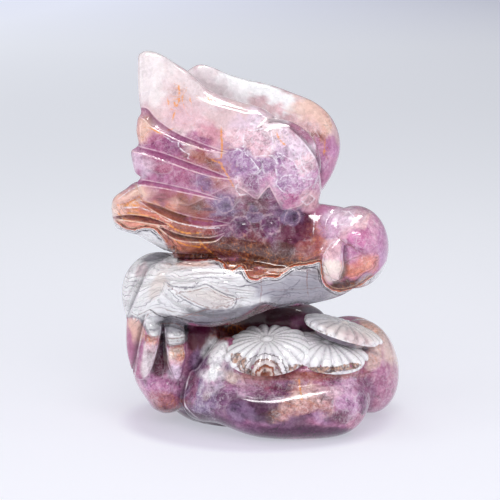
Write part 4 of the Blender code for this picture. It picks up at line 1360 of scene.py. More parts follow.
# %% Rust, veils and crystals
RUST_PLACES = [
    (178, 100, 9, 20, 10, 0.6), (209, 99, 5, 4, 0, 1), (222, 142, 3, 22, -5, 1), (230, 176, 4, 14, 25, 0.8),
    (145, 128, 8, 14, 0, 0.7), (190, 155, 14, 10, 20, 0.5), (326, 135, 6, 26, 5, 0.9), (278, 138, 10, 8, 0, 0.4),
    (130, 202, 18, 4, -20, 1), (160, 220, 48, 18, 10, 0.9), (195, 244, 40, 16, 0, 1), (207, 252, 10, 12, 0, 1),
    (262, 262, 64, 18, 0, 0.95), (235, 264, 8, 7, 0, 1), (296, 262, 26, 7, 0, 1), (320, 240, 10, 26, 0, 0.6),
    (356, 279, 19, 9, -10, 0.8), (372, 262, 8, 14, 0, 0.5), (152, 338, 9, 4, 0, 0.9), (176, 352, 9, 7, 0, 1),
    (300, 372, 66, 5, 0, 0.6), (300, 404, 30, 14, 0, 0.35), (370, 340, 20, 20, 30, 0.6), (170, 404, 18, 8, 0, 0.5),
    (235, 334, 24, 10, 0, 0.6),
]
VEIL_PLACES = [
    (170, 90, 60, 50, 20, 0.5), (275, 160, 52, 46, 0, 1), (180, 165, 50, 32, 20, 0.35), (240, 215, 50, 30, 0, 0.4),
    (355, 235, 34, 36, 0, 0.6), (212, 394, 30, 28, 10, 0.6), (262, 388, 50, 10, 0, 0.6), (305, 402, 34, 14, 0, 0.7),
    (275, 255, 56, 16, 0, 0.45), (180, 238, 60, 20, 0, 0.55), (345, 395, 22, 26, 0, 0.7),
    (155, 370, 30, 40, 0, 0.5), (380, 370, 20, 40, 0, 0.5),
]
CRYSTAL_PLACES = [
    (275, 165, 52, 48, 0, 0.9), (180, 165, 52, 32, 20, 0.7), (262, 226, 62, 30, 0, 1), (355, 240, 36, 38, 0, 0.4),
    (260, 400, 150, 60, 0, 1), (168, 362, 30, 40, 0, 0.9),
]


def amount(places):
    """The strongest of some ovals at each vertex."""
    return np.max([stain_share(flat, *oval) for oval in places], axis=0)


BORDER_PLACES = [
    (142, 230, 34, 16, 12, 1), (245, 268, 36, 22, 0, 1), (300, 272, 46, 22, 0, 1), (345, 290, 26, 14, -10, 0.9),
]
store(stone, "border", amount(BORDER_PLACES))
store(stone, "marks", np.stack([amount(RUST_PLACES), amount(VEIL_PLACES), amount(CRYSTAL_PLACES)], axis=1))
print("rust in", len(RUST_PLACES), "places, veils in", len(VEIL_PLACES))

# %% [markdown]
# ## Fine lines
#
# Some lines in the stone can be told apart one by one: seams of rust, cracks and the white edges of large
# crystals. Others are painted light: a painted highlight along the edge where one polished form stands in front
# of another, with a painted shadow on the form behind, a painted highlight on the neck, the edge of a painted
# reflection on the head, and a painted shadow under the rosettes. Each is drawn as a few points. A vertex keeps
# its distance to the nearest line of a family, and the material draws the line from that, so it is as thin as in
# the real stone even where the triangles are wider.

# %% Fine lines
FAR_OFF_PX = 99.0
VIEW_RAMP = 2.5
FINE_LINES = {
    # Rims are edges of forms that stand in front of others: the material paints a highlight along each and a shadow
    # on the form behind it.
    "rim": [
        [
            (321, 191), (320, 176), (316.3, 161), (308.8, 149), (300, 138.5), (291, 130.3), (280.4, 123.5),
            (270, 123.5),
        ],
        [(212, 345.8), (198, 368), (190, 373), (184, 396.7), (186.4, 408.5), (198, 419)],
        [(145.8, 316), (141.3, 335), (136.7, 358.5), (133.5, 378)],
        [(172.6, 255.5), (150, 269), (142.6, 284), (129, 315.7)],
        [(165, 327.5), (165.5, 343), (167.5, 352.3), (168, 364), (172, 373)],
        [(149.8, 373), (156.4, 352.3), (160.3, 332.7), (161, 325)],
        [(333.2, 280.5), (338.6, 279), (341.4, 272.7), (343.2, 265.5), (342.5, 256), (343, 246)],
    ],
    "pale": [
        [(246, 130.3), (255, 130.3), (267, 127.3), (276, 124)], [(244.4, 131), (243, 142), (245.2, 152)],
        [(271.4, 132.5), (273, 141), (272, 150.5)],
        [(229, 153), (232, 149), (237, 147.5), (244.4, 152.8), (253.4, 161), (259.4, 170)],
        [(256.4, 156.6), (265.4, 155), (272.9, 155.8), (277.4, 159.6), (278, 167)],
        [(274.4, 159.6), (277.4, 179), (275.9, 183.6), (281.9, 191), (286.4, 193.3)],
        [(277.4, 152), (293.8, 161), (296.8, 168.6)], [(299.8, 155), (302.8, 167), (308.8, 173)],
        [(283.4, 176), (293.8, 174.5), (305.8, 179), (314.8, 179)],
        [(242, 181.3), (232.5, 183.5), (238.4, 195.5), (249.7, 194)],
        [(299.8, 200), (308, 192.5), (315.5, 198.5), (307.3, 205.3), (299.8, 200)],
        # This outline on the head is the edge of a painted reflection of the light above.
        [
            (330, 220), (334, 214.5), (341, 210.8), (349, 211.5), (354, 216), (355, 222), (350, 226), (343, 224.5),
            (333, 224),
        ],
        [
            (335.5, 240.5), (330.5, 244.5), (326.8, 249.5), (323.9, 254), (322.7, 260), (322.8, 267.5),
            (326, 275.5), (333, 280.3),
        ],
        # The first line here, on the neck, is a painted highlight.
        [(314.8, 213.6), (314, 223), (313.3, 233)], [(165.5, 136), (172.5, 142), (183.8, 151.3), (189.4, 158.3)],
        [(178, 142), (190.8, 147), (188, 158.3)], [(117, 200), (130, 190), (141, 185)],
        [(124, 208), (139, 207), (154, 212.5)], [(168, 219), (180, 223.5), (204, 228), (220, 228)],
    ],
    "orange": [
        [(178.7, 86), (179.5, 99), (176, 107), (172.8, 119)], [(168, 100), (169, 106)], [(189, 96), (190, 101)],
        [(221, 129), (222, 146), (221.2, 162.5), (226, 173), (233, 185)], [(213, 160), (224, 168)],
        [(323, 110), (326, 124), (325, 138), (324, 156)], [(313, 103), (319, 118), (321, 128)],
        [(118, 205), (128, 203), (139, 197)], [(208, 96), (209, 103)], [(277, 134), (279, 139), (285, 145)],
        [(179, 262), (196, 263.6), (213, 262.5)],
        [(141.6, 200.5), (157, 206), (172.5, 213), (192, 218.8), (212, 221.6)],
        [(299, 380), (300, 388), (301.5, 399)], [(168, 130), (172, 129)], [(123, 206), (131, 205), (140, 207)],
        [(167, 223), (175, 229), (186, 233), (200, 233)], [(199, 240), (205, 247), (213, 254)],
        [(128, 213), (142, 215), (158, 219)], [(174, 240), (186, 245), (200, 247)],
        [(118, 213), (124, 219), (134, 222)], [(150, 128), (156, 131), (162, 134)],
        [(228, 263), (232, 268), (238, 265)],
    ],
    "grey": [
        [(290, 287), (284, 294), (278, 301)], [(300, 280), (293, 288), (290, 296)],
        [(166, 282), (172, 286), (180, 287), (192, 286.6), (202, 283)],
        [
            (165.2, 282), (177, 288.7), (192, 288.7), (207.5, 284.2), (216.5, 290.2), (225.6, 294), (236, 297),
            (236, 302), (231.6, 309), (213.5, 310.6), (198.4, 306.8), (187.9, 301.6), (177.3, 295.5),
        ],
        [(240, 287), (249, 285), (259, 288)], [(196, 279), (206, 277), (220, 279)],
        [(262, 295), (276, 291), (290, 293)],
    ],
    "dark": [
        [
            (150, 309.5), (158, 315), (165, 317.6), (171, 315.9), (183, 319), (200, 322.5), (222, 321.5),
            (238, 317.5), (249.7, 315), (255.7, 309.9), (260, 305), (270, 303), (284, 306), (297, 302), (308, 303),
        ],
        [(144, 254), (152, 251.5), (162, 252.5), (171, 256)],
        [(286, 270), (300, 267.5), (316, 268.5), (320, 275), (322.5, 285), (332, 292.5)],
        [(177, 258), (196, 258.6), (216, 257.5)],
    ],
    "brown": [
        [
            (167, 285), (178, 291.5), (193, 291), (207.5, 287.2), (215.5, 293), (225, 296.8), (233.5, 299),
            (233.5, 302), (229.5, 306.8), (213.8, 308.2), (199.5, 304.4), (189, 299.2), (178, 293.3),
        ],
        [(260.5, 275), (261.5, 290), (259.5, 304)],
        [(180.3, 317.4), (198, 312), (216.5, 306.8), (237.6, 298.5), (246, 297.8)],
        [(307.6, 270), (307, 282), (308, 295)], [(337, 236), (342, 241), (347, 245)],
        [(350, 244), (355, 249), (358, 254)], [(345, 263), (352, 259), (360, 256)],
        # This brown line under the rosettes is a painted shadow below their rims.
        [(240, 377.5), (262, 380), (290, 378.5), (330, 376.5), (362, 374), (373, 370)],
        [(148, 314), (143, 323), (138, 329)], [(161, 323.5), (176, 323.5), (184, 329)],
        [(167, 344), (176, 345.5), (184, 343)], [(166, 338), (175, 338.5), (183, 337)],
        [(184, 264), (200, 266), (222, 264.5)], [(143, 334), (151, 337), (160, 336)],
    ],
}


def nearest_line(lines, rounded):
    """Millimetres from the nearest line, signed by the side, and a strength that fades past its ends."""
    offset, strength = np.full(len(flat), FAR_OFF_PX), np.zeros(len(flat))
    for line in lines:
        away, beyond = line_offset(flat, smooth_line(line, 3) if rounded else np.array(line, float))
        closer = np.abs(away) < np.abs(offset)
        offset[closer], strength[closer] = away[closer], smooth_step(1 - beyond[closer] / 2)
    return offset * PIXEL / MM, strength


on_front = smooth_step((9 - depth) / 3)
# How much a vertex faces the viewer: the painted shadow behind the rims shows only there
store(stone, "faces_view", smooth_step(-VIEW_RAMP * normals[:, 1]))
for family, lines in FINE_LINES.items():
    offset, strength = nearest_line(lines, rounded=family != "pale")
    store(stone, family + "_line", offset)
    store(stone, family + "_near", strength * on_front)
print("fine lines:", {family: len(lines) for family, lines in FINE_LINES.items()})

# %% [markdown]
# ## Where the carving meets the colours
#
# The cut bands and the creases show in the colour too, as painted shade with painted highlights on the bands'
# edges, and so do the round crystals of the body. The same lines that cut them are measured once more, now as
# distances that the material can read.

# %% Bands, creases and balls
GROOVE_FULL = 1.6
BALL_SHARE = 0.85
store(stone, "cell_edge", np.where(cell_share > 0.02, cell_edge, 9))
ledge, ridge, in_band = (np.full(len(flat), -FAR_OFF_PX) for _ in range(3))
for band in [*WING_BANDS, *TAIL_BANDS]:
    below, above = band_offsets(flat, band)
    nearer = np.minimum(below, above) > in_band
    ledge[nearer], ridge[nearer], in_band[nearer] = below[nearer], above[nearer], np.minimum(below, above)[nearer]
for name, field in {"ledge": ledge, "ridge": ridge, "in_band": in_band}.items():
    store(stone, name, field * PIXEL / MM)
balls = np.min([
    np.hypot(flat[:, 0] - x, flat[:, 1] - y) - BALL_SHARE * radius for x, y, radius, _ in CRYSTALS[:5]
], axis=0)
store(stone, "ball", balls * PIXEL / MM)
store(stone, "on_front", smooth_step((2.5 - depth) / 1.5) * (1 - far_share))
creases = [*TAIL_CREASES, *SLIT_UNDER_TAIL, *TOE_CREASES, *HEAD_CUTS[3:]]
# How deep each vertex lies in a crease, for the painted shade there
crease_shade = np.max([groove_depths(flat, line, EVEN) for line in creases], axis=0)
store(stone, "crease_shade", np.clip(crease_shade / GROOVE_FULL, 0, 1) * (depth < 2) * (1 - far_share))
print("stored", len(WING_BANDS) + len(TAIL_BANDS), "bands and", len(creases), "creases")

# %% [markdown]
# ## Rays for the rosettes' finish
#
# The rosettes' grooves run on as hair lines close to the button, finer than the mesh, and the material paints
# them as shade. For these the material needs each vertex's place in its own rosette: across and up in the
# rosette's plane, as shares of its radius.

# %% Places in the rosettes
nearest_gap = np.full(len(points), np.inf)
in_rosette = np.zeros((len(points), 3))
for centre, radius, rise, lean, aside, rays, turn in ROSETTES:
    place = rosette_place(centre, lean, aside) @ Matrix.Rotation(turn, 4, "Z")
    back = np.array(place.inverted())
    local = (points @ back[:3, :3].T + back[:3, 3]) / MM
    gap = np.hypot(local[:, 0], local[:, 1]) / radius + np.abs(local[:, 2] - rise / 2) / radius
    closer = gap < nearest_gap
    nearest_gap[closer] = gap[closer]
    in_rosette[closer] = np.column_stack([local[closer, :2] / radius, np.full(closer.sum(), rays)])
for name, values in zip(("across", "up", "rays"), in_rosette.T):
    store(stone, "rosette_" + name, values)
ROSETTE_STAINS = [
    ("agate beige", 348, 333, 30, 9, 12, 0.5), ("pale rose", 356, 338, 16, 7, 20, 0.5),
    ("agate grey", 322, 321, 18, 5, 8, 0.4),
]
ROSETTE_RUST = [
    (238, 361, 9, 8, 35, 0.8), (246, 371, 9, 4, 20, 0.9), (296, 369, 12, 5, 0, 0.8), (322, 370, 26, 4, -3, 1),
    (348, 367, 14, 4, -8, 0.9), (318, 333, 16, 3, 12, 0.6), (352, 345, 16, 3, 15, 0.4),
]
ARCH_MIDDLE = (265.5, 375)
store(stone, "rosette_wash", wash("pure white", ROSETTE_STAINS))
store(stone, "rosette_rust", amount(ROSETTE_RUST))
store(stone, "arch", np.hypot(*(flat - ARCH_MIDDLE).T) * PIXEL / MM)
print("rosette faces:", sum(face.material_index == ROSETTE_SLOT for face in stone.polygons))

# %% [markdown]
# ## Shader helpers
#
# The finishes below use the same node helpers as the rosette tree, with a few more for colours: a mix, a
# change of range, a ramp, a noise and a stored value.

# %% Shader helpers


def rgba(code):
    """The linear colour and full opacity of an #rrggbb code."""
    return (*linear(code), 1)


def mixed(share, first, second, blend="MIX"):
    """The second colour over the first. Either is a wire or an #rrggbb code."""
    first, second = (rgba(colour) if isinstance(colour, str) else colour for colour in (first, second))
    inputs = {0: share, 6: first, 7: second}
    return add_node(tree_of(share, first, second), "ShaderNodeMix", inputs, data_type="RGBA", blend_type=blend)[2]


def ranged(value, low, high, to_low=0.0, to_high=1.0, smooth=True):
    """Carries the range low to high over to another range."""
    ends = {"Value": value, "From Min": low, "From Max": high, "To Min": to_low, "To Max": to_high}
    kind = "SMOOTHSTEP" if smooth else "LINEAR"
    return add_node(value.tree, "ShaderNodeMapRange", ends, interpolation_type=kind)


def line_at(offset, core, width):
    """1 where the offset is nearly 0, and 0 past the width."""
    return 1 - ranged(abs(offset), core, width)


def noise(place, scale, detail=4.0, roughness=0.55, swirl=0.0):
    settings = {"Vector": place, "Scale": scale, "Detail": detail, "Roughness": roughness, "Distortion": swirl}
    return add_node(place.tree, "ShaderNodeTexNoise", settings)


def unrest(place, *settings):
    """A noise that swings round 0."""
    return noise(place, *settings) - 0.5


def shaded(colour, value, **more):
    return add_node(value.tree, "ShaderNodeHueSaturation", {"Color": colour, "Value": value, **more})


def ramp(value, stops):
    """A colour ramp. Each stop is a position and an #rrggbb code."""
    made = add_node(value.tree, "ShaderNodeValToRGB", {"Fac": value})
    bars = made.socket.node.color_ramp.elements
    while len(bars) < len(stops):
        bars.new(0.5)
    for bar, (position, code) in zip(bars, stops):
        bar.position, bar.color = position, rgba(code)
    return made


def stored(tree, name, part="Fac"):
    """What the vertices keep under that name."""
    return add_node(tree, "ShaderNodeAttribute", attribute_name=name)[part]


def stretched(place, *scale):
    return add_node(place.tree, "ShaderNodeMapping", {"Vector": place, "Scale": scale})


def grouped(group, inputs):
    return add_node(tree_of(*inputs.values()), "ShaderNodeGroup", inputs, node_tree=group)


def begun(material):
    """A material's tree and shader, and Object coordinates in millimetres."""
    material.use_nodes = True
    tree = material.node_tree
    place = add_node(tree, "ShaderNodeTexCoord")["Object"]
    return tree, tree.nodes["Principled BSDF"].inputs, stretched(place, 1000, 1000, 1000)


print("shader helpers are ready")

# %% [markdown]
# ## Crystals, veils and rust as node groups
#
# Amethyst grows as packed crystals. In a polished face each one is a cell with its own shade, parted from the
# next by a pale veil. A Voronoi texture gives exactly that: its cells for the shades, its edges for the
# veils. A noise bends the cells a little and breaks the veils off here and there. Rust veins are the places
# where a noise passes its middle value, which is a thin wandering line.

# %% Crystal and rust groups
VEIL_BREAKS = (0.42, 0.62)
VEIN_BREAKS = (0.45, 0.6)


def crystal_group():
    tree, (place, size, veil_width, bend), result = new_tree("crystals", "ShaderNodeTree", [
        ("Place", "Vector", None), ("Size", "Float", 6.0), ("Veil Width", "Float", 0.8), ("Unrest", "Float", 1.0),
    ], ["Veil", "Shade"])
    swirl = add_node(tree, "ShaderNodeTexNoise", {"Vector": place, "Scale": 0.35, "Detail": 3.0})["Color"]
    swirl = vector_maths("SCALE", vector_maths("SUBTRACT", swirl, (0.5, 0.5, 0.5)), bend)
    cells = {"Vector": vector_maths("ADD", place, swirl), "Scale": 1 / size}
    edge, cell = (
        add_node(tree, "ShaderNodeTexVoronoi", cells, feature=feature) for feature in ("DISTANCE_TO_EDGE", "F1")
    )
    line = line_at(edge["Distance"] * size, 0, veil_width)
    broken = ranged(noise(place, 0.55, 3.0), *VEIL_BREAKS)
    feed(result, {"Veil": line * broken, "Shade": split(cell["Color"])[0]})
    return tree


def rust_group():
    tree, (place, scale, width), result = new_tree("rust veins", "ShaderNodeTree", [
        ("Place", "Vector", None), ("Scale", "Float", 0.3), ("Width", "Float", 0.03),
    ], ["Vein"])
    line = line_at(unrest(place, scale, 6.0, 0.62), 0, width)
    feed(result, {"Vein": line * ranged(noise(place, 0.9, 5.0, 0.7), *VEIN_BREAKS)})
    return tree


CRYSTALS_GROUP, RUST_GROUP = crystal_group(), rust_group()
print("groups:", CRYSTALS_GROUP.name, "and", RUST_GROUP.name)

# %% [markdown]
# ## The agate's bands as a node group
#
# A band is everything between two steps of the level. Each band gets a shade of its own from white noise, so
# that pale and grey bands follow each other without a rule. At the step itself runs a thin line, strong in
# some places and gone in others, and a few of the lines are red or brown.

# %% Agate group
AGATE_STRETCH = (0.42, 1, 1)
SLOW_WAVE, QUICK_WAVE = 5.0, 0.9


def chances(number):
    """Random numbers that belong to a band or to a line."""
    return add_node(number.tree, "ShaderNodeTexWhiteNoise", {"W": number}, noise_dimensions="1D")


def agate_group():
    tree, (level, place, spacing, line_width), result = new_tree("agate bands", "ShaderNodeTree", [
        ("Level", "Float", 0.0), ("Place", "Vector", None), ("Spacing", "Float", 0.8), ("Line Width", "Float", 0.2),
    ], ["Shade", "Line", "Warmth", "Relief"])
    place = stretched(place, *AGATE_STRETCH)
    waves = unrest(place, 0.22, 3.0) * SLOW_WAVE + unrest(place, 0.9, 3.0, 0.5) * QUICK_WAVE
    steps = (level + waves) / spacing
    number = maths("FLOOR", steps + 0.5)
    line = line_at((steps - number) * spacing, 0, line_width)
    chance = chances(number)
    patches = noise(place, 0.3, 3.0)
    strength = ranged(chance["Value"], 0.1, 0.8) * ranged(patches, 0.34, 0.55, 0.15, 1.0)
    layer = maths("FRACT", steps)
    feed(result, {
        "Shade": chances(maths("FLOOR", steps))["Value"], "Line": line * strength,
        "Warmth": ranged(split(chance["Color"])[1], 0.55, 0.75),
        "Relief": layer * ranged(layer, 1.0, 0.8) * ranged(patches, 0.34, 0.6, 0.2, 1.0),
    })
    return tree


AGATE_GROUP = agate_group()
print("group:", AGATE_GROUP.name)

# %% [markdown]
# ## The stone's finish
#
# Now the parts come together, first the amethyst. The wash gives the colour of a place. Three sizes of
# crystals shade it and lay veils over it, clouds of noise make it milky, and rust veins run where there is
# rust. The surface is polished: a clear coat over a slightly rough base, and some light goes into the stone,
# because quartz is translucent.

# %% Polish and amethyst
# The veil white and pink colour the stone's veils and also its painted highlights. Highlight peach is a painted
# highlight on the edges of carved bands. Groove plum is partly the grooves' own colour and partly painted shade,
# and rim shade is a painted shadow.
VEIL_AND_HIGHLIGHT_WHITE, VEIL_AND_HIGHLIGHT_PINK, VEIL_TAN = "#f6eef6", "#ecc9d2", "#dcae94"
SEAM_ORANGE, HIGHLIGHT_PEACH = "#ee9a3c", "#f0d3c0"
GROOVE_PLUM, GROOVE_BROWN = "#a64c82", "#4a1d14"
PLUM_SHADE, RIM_SHADE = "#3c1c38", "#4a4350"
LACE_UMBER, LACE_TAN = "#43201c", "#c08a68"
RUST_ORANGE, RUST_RED = "#d9761f", "#b23c1e"
LINE_GREY, LINE_BROWN, LINE_DARK = "#77727f", "#8a5a50", "#2c232b"
POLISH = {
    "IOR": 1.54, "Specular IOR Level": 0.2, "Coat Weight": 1, "Coat Roughness": 0.05, "Coat IOR": 1.55,
    "Subsurface Weight": 0.15, "Subsurface Scale": 0.0018, "Subsurface Radius": (1, 0.75, 0.9),
}
BUMP_REACH = 0.0004

# Size, width of the veils and unrest of the cells, then how much their shade and their veils show
CRYSTAL_SIZES = [(5.5, 0.35, 1.2, 0.25, 0.6), (2, 0.2, 0.9, 0.34, 0.5), (0.9, 0.12, 0.5, 0.34, 0.22)]
# Scale, width and strength of the white wisps
WISPS = [(0.33, 0.03, 0.65), (0.85, 0.04, 0.5)]
SMOKE_SHARE, GRAIN_SHARE, MILK_SHARE = 1.5, 1.25, 0.3


def polished(shader, place, colour, height, bump):
    """The surface of a polished translucent stone, with a fine relief."""
    relief = {"Height": height, "Strength": bump, "Distance": BUMP_REACH}
    feed(shader, POLISH | {
        "Base Color": colour, "Roughness": ranged(noise(place, 0.8, 6.0, 0.6), 0.3, 0.75, 0.16, 0.34),
        "Normal": add_node(place.tree, "ShaderNodeBump", relief),
    })


def vein(place, scale, width):
    return grouped(RUST_GROUP, {"Place": place, "Scale": scale, "Width": width})


def amethyst_colour(place, colour, rust, veil, crystal):
    shade = unrest(place, 0.28, 7.0, 0.62, 1.4) * SMOKE_SHARE + unrest(place, 1.9, 6.0, 0.72, 0.6) * GRAIN_SHARE
    lace = ranged(noise(place, 0.42, 8.0, 0.68, 2.0), 0.54, 0.74) * MILK_SHARE
    hues = []
    for size, width, bend, shade_share, veil_share in CRYSTAL_SIZES:
        cells = grouped(CRYSTALS_GROUP, {"Place": place, "Size": size, "Veil Width": width, "Unrest": bend})
        hues.append(cells["Shade"] - 0.5)
        shade = shade + hues[-1] * shade_share
        lace = maths("MAXIMUM", lace, cells["Veil"] * veil_share)
    for scale, width, strength in WISPS:
        lace = maths("MAXIMUM", lace, vein(place, scale, width) * strength)
    shade = shade * (crystal * 0.7 + 0.3)
    colour = shaded(colour, shade + 1, Saturation=shade * -0.45 + 1, Hue=hues[0] * 0.025 + 0.5)
    deep = ranged(noise(place, 0.33, 6.0, 0.6, 1.0), 0.54, 0.68) * crystal
    colour = mixed(deep * 0.5, colour, PLUM_SHADE, "MULTIPLY")
    colour = mixed(lace * veil, colour, mixed(rust, VEIL_AND_HIGHLIGHT_WHITE, VEIL_TAN))
    burnt = ranged(noise(place, 0.6, 7.0, 0.72, 1.2), 0.5, 0.6) * rust
    colour = mixed(burnt * 0.35, colour, LACE_UMBER)
    return mixed(vein(place, 0.5, 0.04) * rust * 0.65, colour, RUST_ORANGE)


print("amethyst has", len(CRYSTAL_SIZES), "sizes of crystals and", len(WISPS), "of wisps")

# %% [markdown]
# Over the amethyst come the things that have a place of their own. The large crystals have pale edges, and
# the zigzag of crystal points parts the pale shoulder from the dark body. Round crystals show as dark balls
# with a halo. Rust stands up in flames above the agate, and lines of lace agate follow its border.

# %% Large crystals, balls and lace
LACE_LINES = [(1.1, 0.3, 0.75), (0.45, 0.12, 0.45)]


def fine_line(place, family, width, breaks):
    """How strongly a fine line of that family covers a point. It trembles a little and is broken in places."""
    tremble = unrest(place, 1.3, 3.0, 0.6) * 0.5
    line = line_at(stored(place.tree, family + "_line") + tremble, 0.3 * width, width)
    return line * ranged(noise(place, 0.9, 4.0, 0.65), *breaks) * stored(place.tree, family + "_near")


def large_crystals(place, colour, veil):
    zigzag = stored(place.tree, "above_zigzag")
    facet = line_at(stored(place.tree, "cell_edge"), 0.05, 0.35)
    facet = facet * ranged(noise(place, 0.5, 4.0), 0.4, 0.65, 0.0, 0.45)
    colour = mixed(facet * veil, colour, VEIL_AND_HIGHLIGHT_WHITE)
    under = ranged(zigzag, 0.0, -0.12) * ranged(zigzag, -3.2, -0.8)
    over = ranged(zigzag, 0.0, 0.12) * ranged(zigzag, 2.2, 0.6)
    colour = mixed(under * veil * 0.5, colour, PLUM_SHADE, "MULTIPLY")
    colour = mixed(over * veil * 0.3, colour, VEIL_AND_HIGHLIGHT_PINK)
    return mixed(line_at(zigzag, 0.08, 0.3) * veil * 0.75, colour, VEIL_AND_HIGHLIGHT_PINK)


def round_crystals(place, colour, rust):
    front = stored(place.tree, "on_front")
    ball = unrest(place, 0.45, 4.0, 0.6) * 2.6 + stored(place.tree, "ball")
    colour = mixed(ranged(ball, -0.6, -2.4) * front * 0.45, colour, PLUM_SHADE, "MULTIPLY")
    halo = line_at(ball + 0.25, 0, 0.5) * front * ranged(noise(place, 0.7, 4.0), 0.35, 0.65)
    return mixed(halo * 0.45, colour, mixed(rust, VEIL_AND_HIGHLIGHT_PINK, VEIL_TAN))


def agate_bands(place, level, spacing, width):
    return grouped(AGATE_GROUP, {"Level": level, "Place": place, "Spacing": spacing, "Line Width": width})


def lace_and_flames(place, colour, above, rust):
    """Flames of rust above the upper border of the agate, and brown and orange lines that follow it."""
    flame = ranged(noise(stretched(place, 1, 1, 0.45), 0.8, 5.0, 0.7, 0.8), 0.54, 0.64) * ranged(above, 3.6, 0.3)
    colour = mixed(flame * rust * 0.7, colour, RUST_ORANGE)
    near = rust * ranged(above, 9.0, 2.0)
    for spacing, width, strength in LACE_LINES:
        bands = agate_bands(place, above, spacing, width)
        colour = shaded(colour, (bands["Shade"] - 0.5) * (near * 0.35) + 1)
        ink = mixed(bands["Warmth"], LACE_UMBER, RUST_ORANGE)
        colour = mixed(bands["Line"] * near * strength, colour, ink)
    return colour


print("lace agate has", len(LACE_LINES), "sizes of lines")

# %% [markdown]
# The carved bands are painted deeper plum, partly their own colour and partly painted shade under the feather
# above, and their edges get a painted highlight. The creases get painted shade. A rim is the edge of a form
# that stands in front of another: a painted highlight along it, and a painted shadow on the form behind it.

# %% Carved bands and rims


def carved_bands(place, colour, rust):
    ledge, ridge, in_band, front = (stored(place.tree, name) for name in ("ledge", "ridge", "in_band", "on_front"))
    share = ledge / maths("MAXIMUM", ledge + ridge, 0.1)
    # Painted deeper colour in the bands: partly their own plum, partly painted shade under the feather above
    depth = ranged(in_band, -0.1, 0.2) * front * ranged(share, 1.2, 0.0, 0.3, 1.0)
    depth = depth * ranged(rust, 0.2, 0.8, 0.6, 0.85)
    colour = mixed(depth, colour, mixed(rust, GROOVE_PLUM, GROOVE_BROWN))
    # A painted highlight along the band's edges
    edge = line_at(ridge, 0.08, 0.28) * ranged(ledge, 0.0, 0.5)
    lip = line_at(ledge + 0.2, 0.05, 0.3) * ranged(ridge, 0.0, 0.5) * 0.6
    light = maths("MAXIMUM", edge, lip) * front * ranged(in_band, -0.6, -0.35)
    light = light * ranged(noise(place, 0.6, 3.0), 0.3, 0.6, 0.3, 0.9)
    colour = mixed(light, colour, mixed(rust, VEIL_AND_HIGHLIGHT_PINK, HIGHLIGHT_PEACH))
    # Painted shade in the creases
    return mixed(stored(place.tree, "crease_shade") * 0.7, colour, GROOVE_PLUM, "MULTIPLY")


def rims(place, colour):
    rim, near, faces_view = (stored(place.tree, name) for name in ("rim_line", "rim_near", "faces_view"))
    # A painted shadow on the form behind the rim
    shade = ranged(rim, 0.1, 0.3) * ranged(rim, 2.0, 0.3) * faces_view
    colour = mixed(shade * near * 0.6, colour, RIM_SHADE, "MULTIPLY")
    # A painted highlight along the rim
    rim_highlight = line_at(rim + 0.12, 0.1, 0.3) * ranged(noise(place, 0.35, 3.0), 0.4, 0.6, 0.15, 0.8)
    return mixed(rim_highlight * near, colour, VEIL_AND_HIGHLIGHT_WHITE)


print("bands and rims are ready")

# %% [markdown]
# The agate is drawn with two sizes of bands. Beside its upper border a ramp draws thin orange, white and
# black bands, strong in some places and faint in others.

# %% Agate and its border
AGATE_BANDS = [(1.25, 0.2, 0.6, 1), (0.5, 0.11, 0.25, 0.4)]
BORDER_REACH = 1.35
BORDER_STOPS = [
    (0, "#c9c6cd"), (0.18, "#aeaab4"), (0.23, "#3a343c"), (0.28, "#332d36"), (0.33, "#e6e2e6"), (0.4, "#dedade"),
    (0.43, "#4a434c"), (0.46, "#57505a"), (0.49, "#fbf6f4"), (0.54, "#f6e6df"), (0.57, "#c2562c"),
    (0.65, "#cf6430"), (0.7, "#5f2a1e"), (0.76, "#4a2018"), (0.82, "#b0683f"), (0.88, "#dfbb9f"), (0.92, "#5f312c"),
    (1, "#6a3a30"),
]


def inked(colour, bands, strength):
    """The grey and brown lines of an agate over its colour."""
    return mixed(bands["Line"] * strength, colour, mixed(bands["Warmth"], LINE_GREY, LINE_BROWN))


def agate_colour(place, colour):
    """The banded colour, and how high the layers stand."""
    height = 0.0
    for spacing, width, strength, rise in AGATE_BANDS:
        bands = agate_bands(place, stored(place.tree, "level"), spacing, width)
        colour = shaded(colour, ranged(bands["Shade"], 0.0, 1.0, 0.93, 1.04, smooth=False))
        colour = inked(colour, bands, strength)
        height = bands["Relief"] * rise + height
    return colour, height


def border_bands(place, colour, above):
    off = unrest(place, 0.5, 3.0, 0.6) * 1.2 + (unrest(place, 2.2, 3.0, 0.6) * 0.3 + above)
    bands = ramp(ranged(off, -BORDER_REACH, BORDER_REACH, smooth=False), BORDER_STOPS)
    near = ranged(abs(off), BORDER_REACH, 0.6 * BORDER_REACH) * stored(place.tree, "border")
    return mixed(near * ranged(noise(place, 0.8, 3.0), 0.35, 0.55, 0.6, 1.0), colour, bands)


print("the border's ramp has", len(BORDER_STOPS), "stops")

# %% [markdown]
# The last step puts the amethyst where the stored distances say amethyst and the agate where they say agate,
# lays the border's bands and the fine lines over both, and polishes the whole.

# %% Put the stone's finish together
ORANGE_SEAM = (0.4, (0.35, 0.55, 0.1, 0.8))

# Family, width in millimetres, breaks of the noise, strength and colour
LINE_LOOKS = [
    ("pale", 0.26, (0.35, 0.6, 0.1, 1), 0.85, VEIL_AND_HIGHLIGHT_WHITE), ("grey", 0.3, (0.3, 0.6, 0.3, 1), 0.75, LINE_GREY),
    ("brown", 0.26, (0.35, 0.6, 0.2, 1), 0.6, LINE_BROWN), ("dark", 0.3, (0.3, 0.55, 0.2, 1), 0.8, LINE_DARK),
]


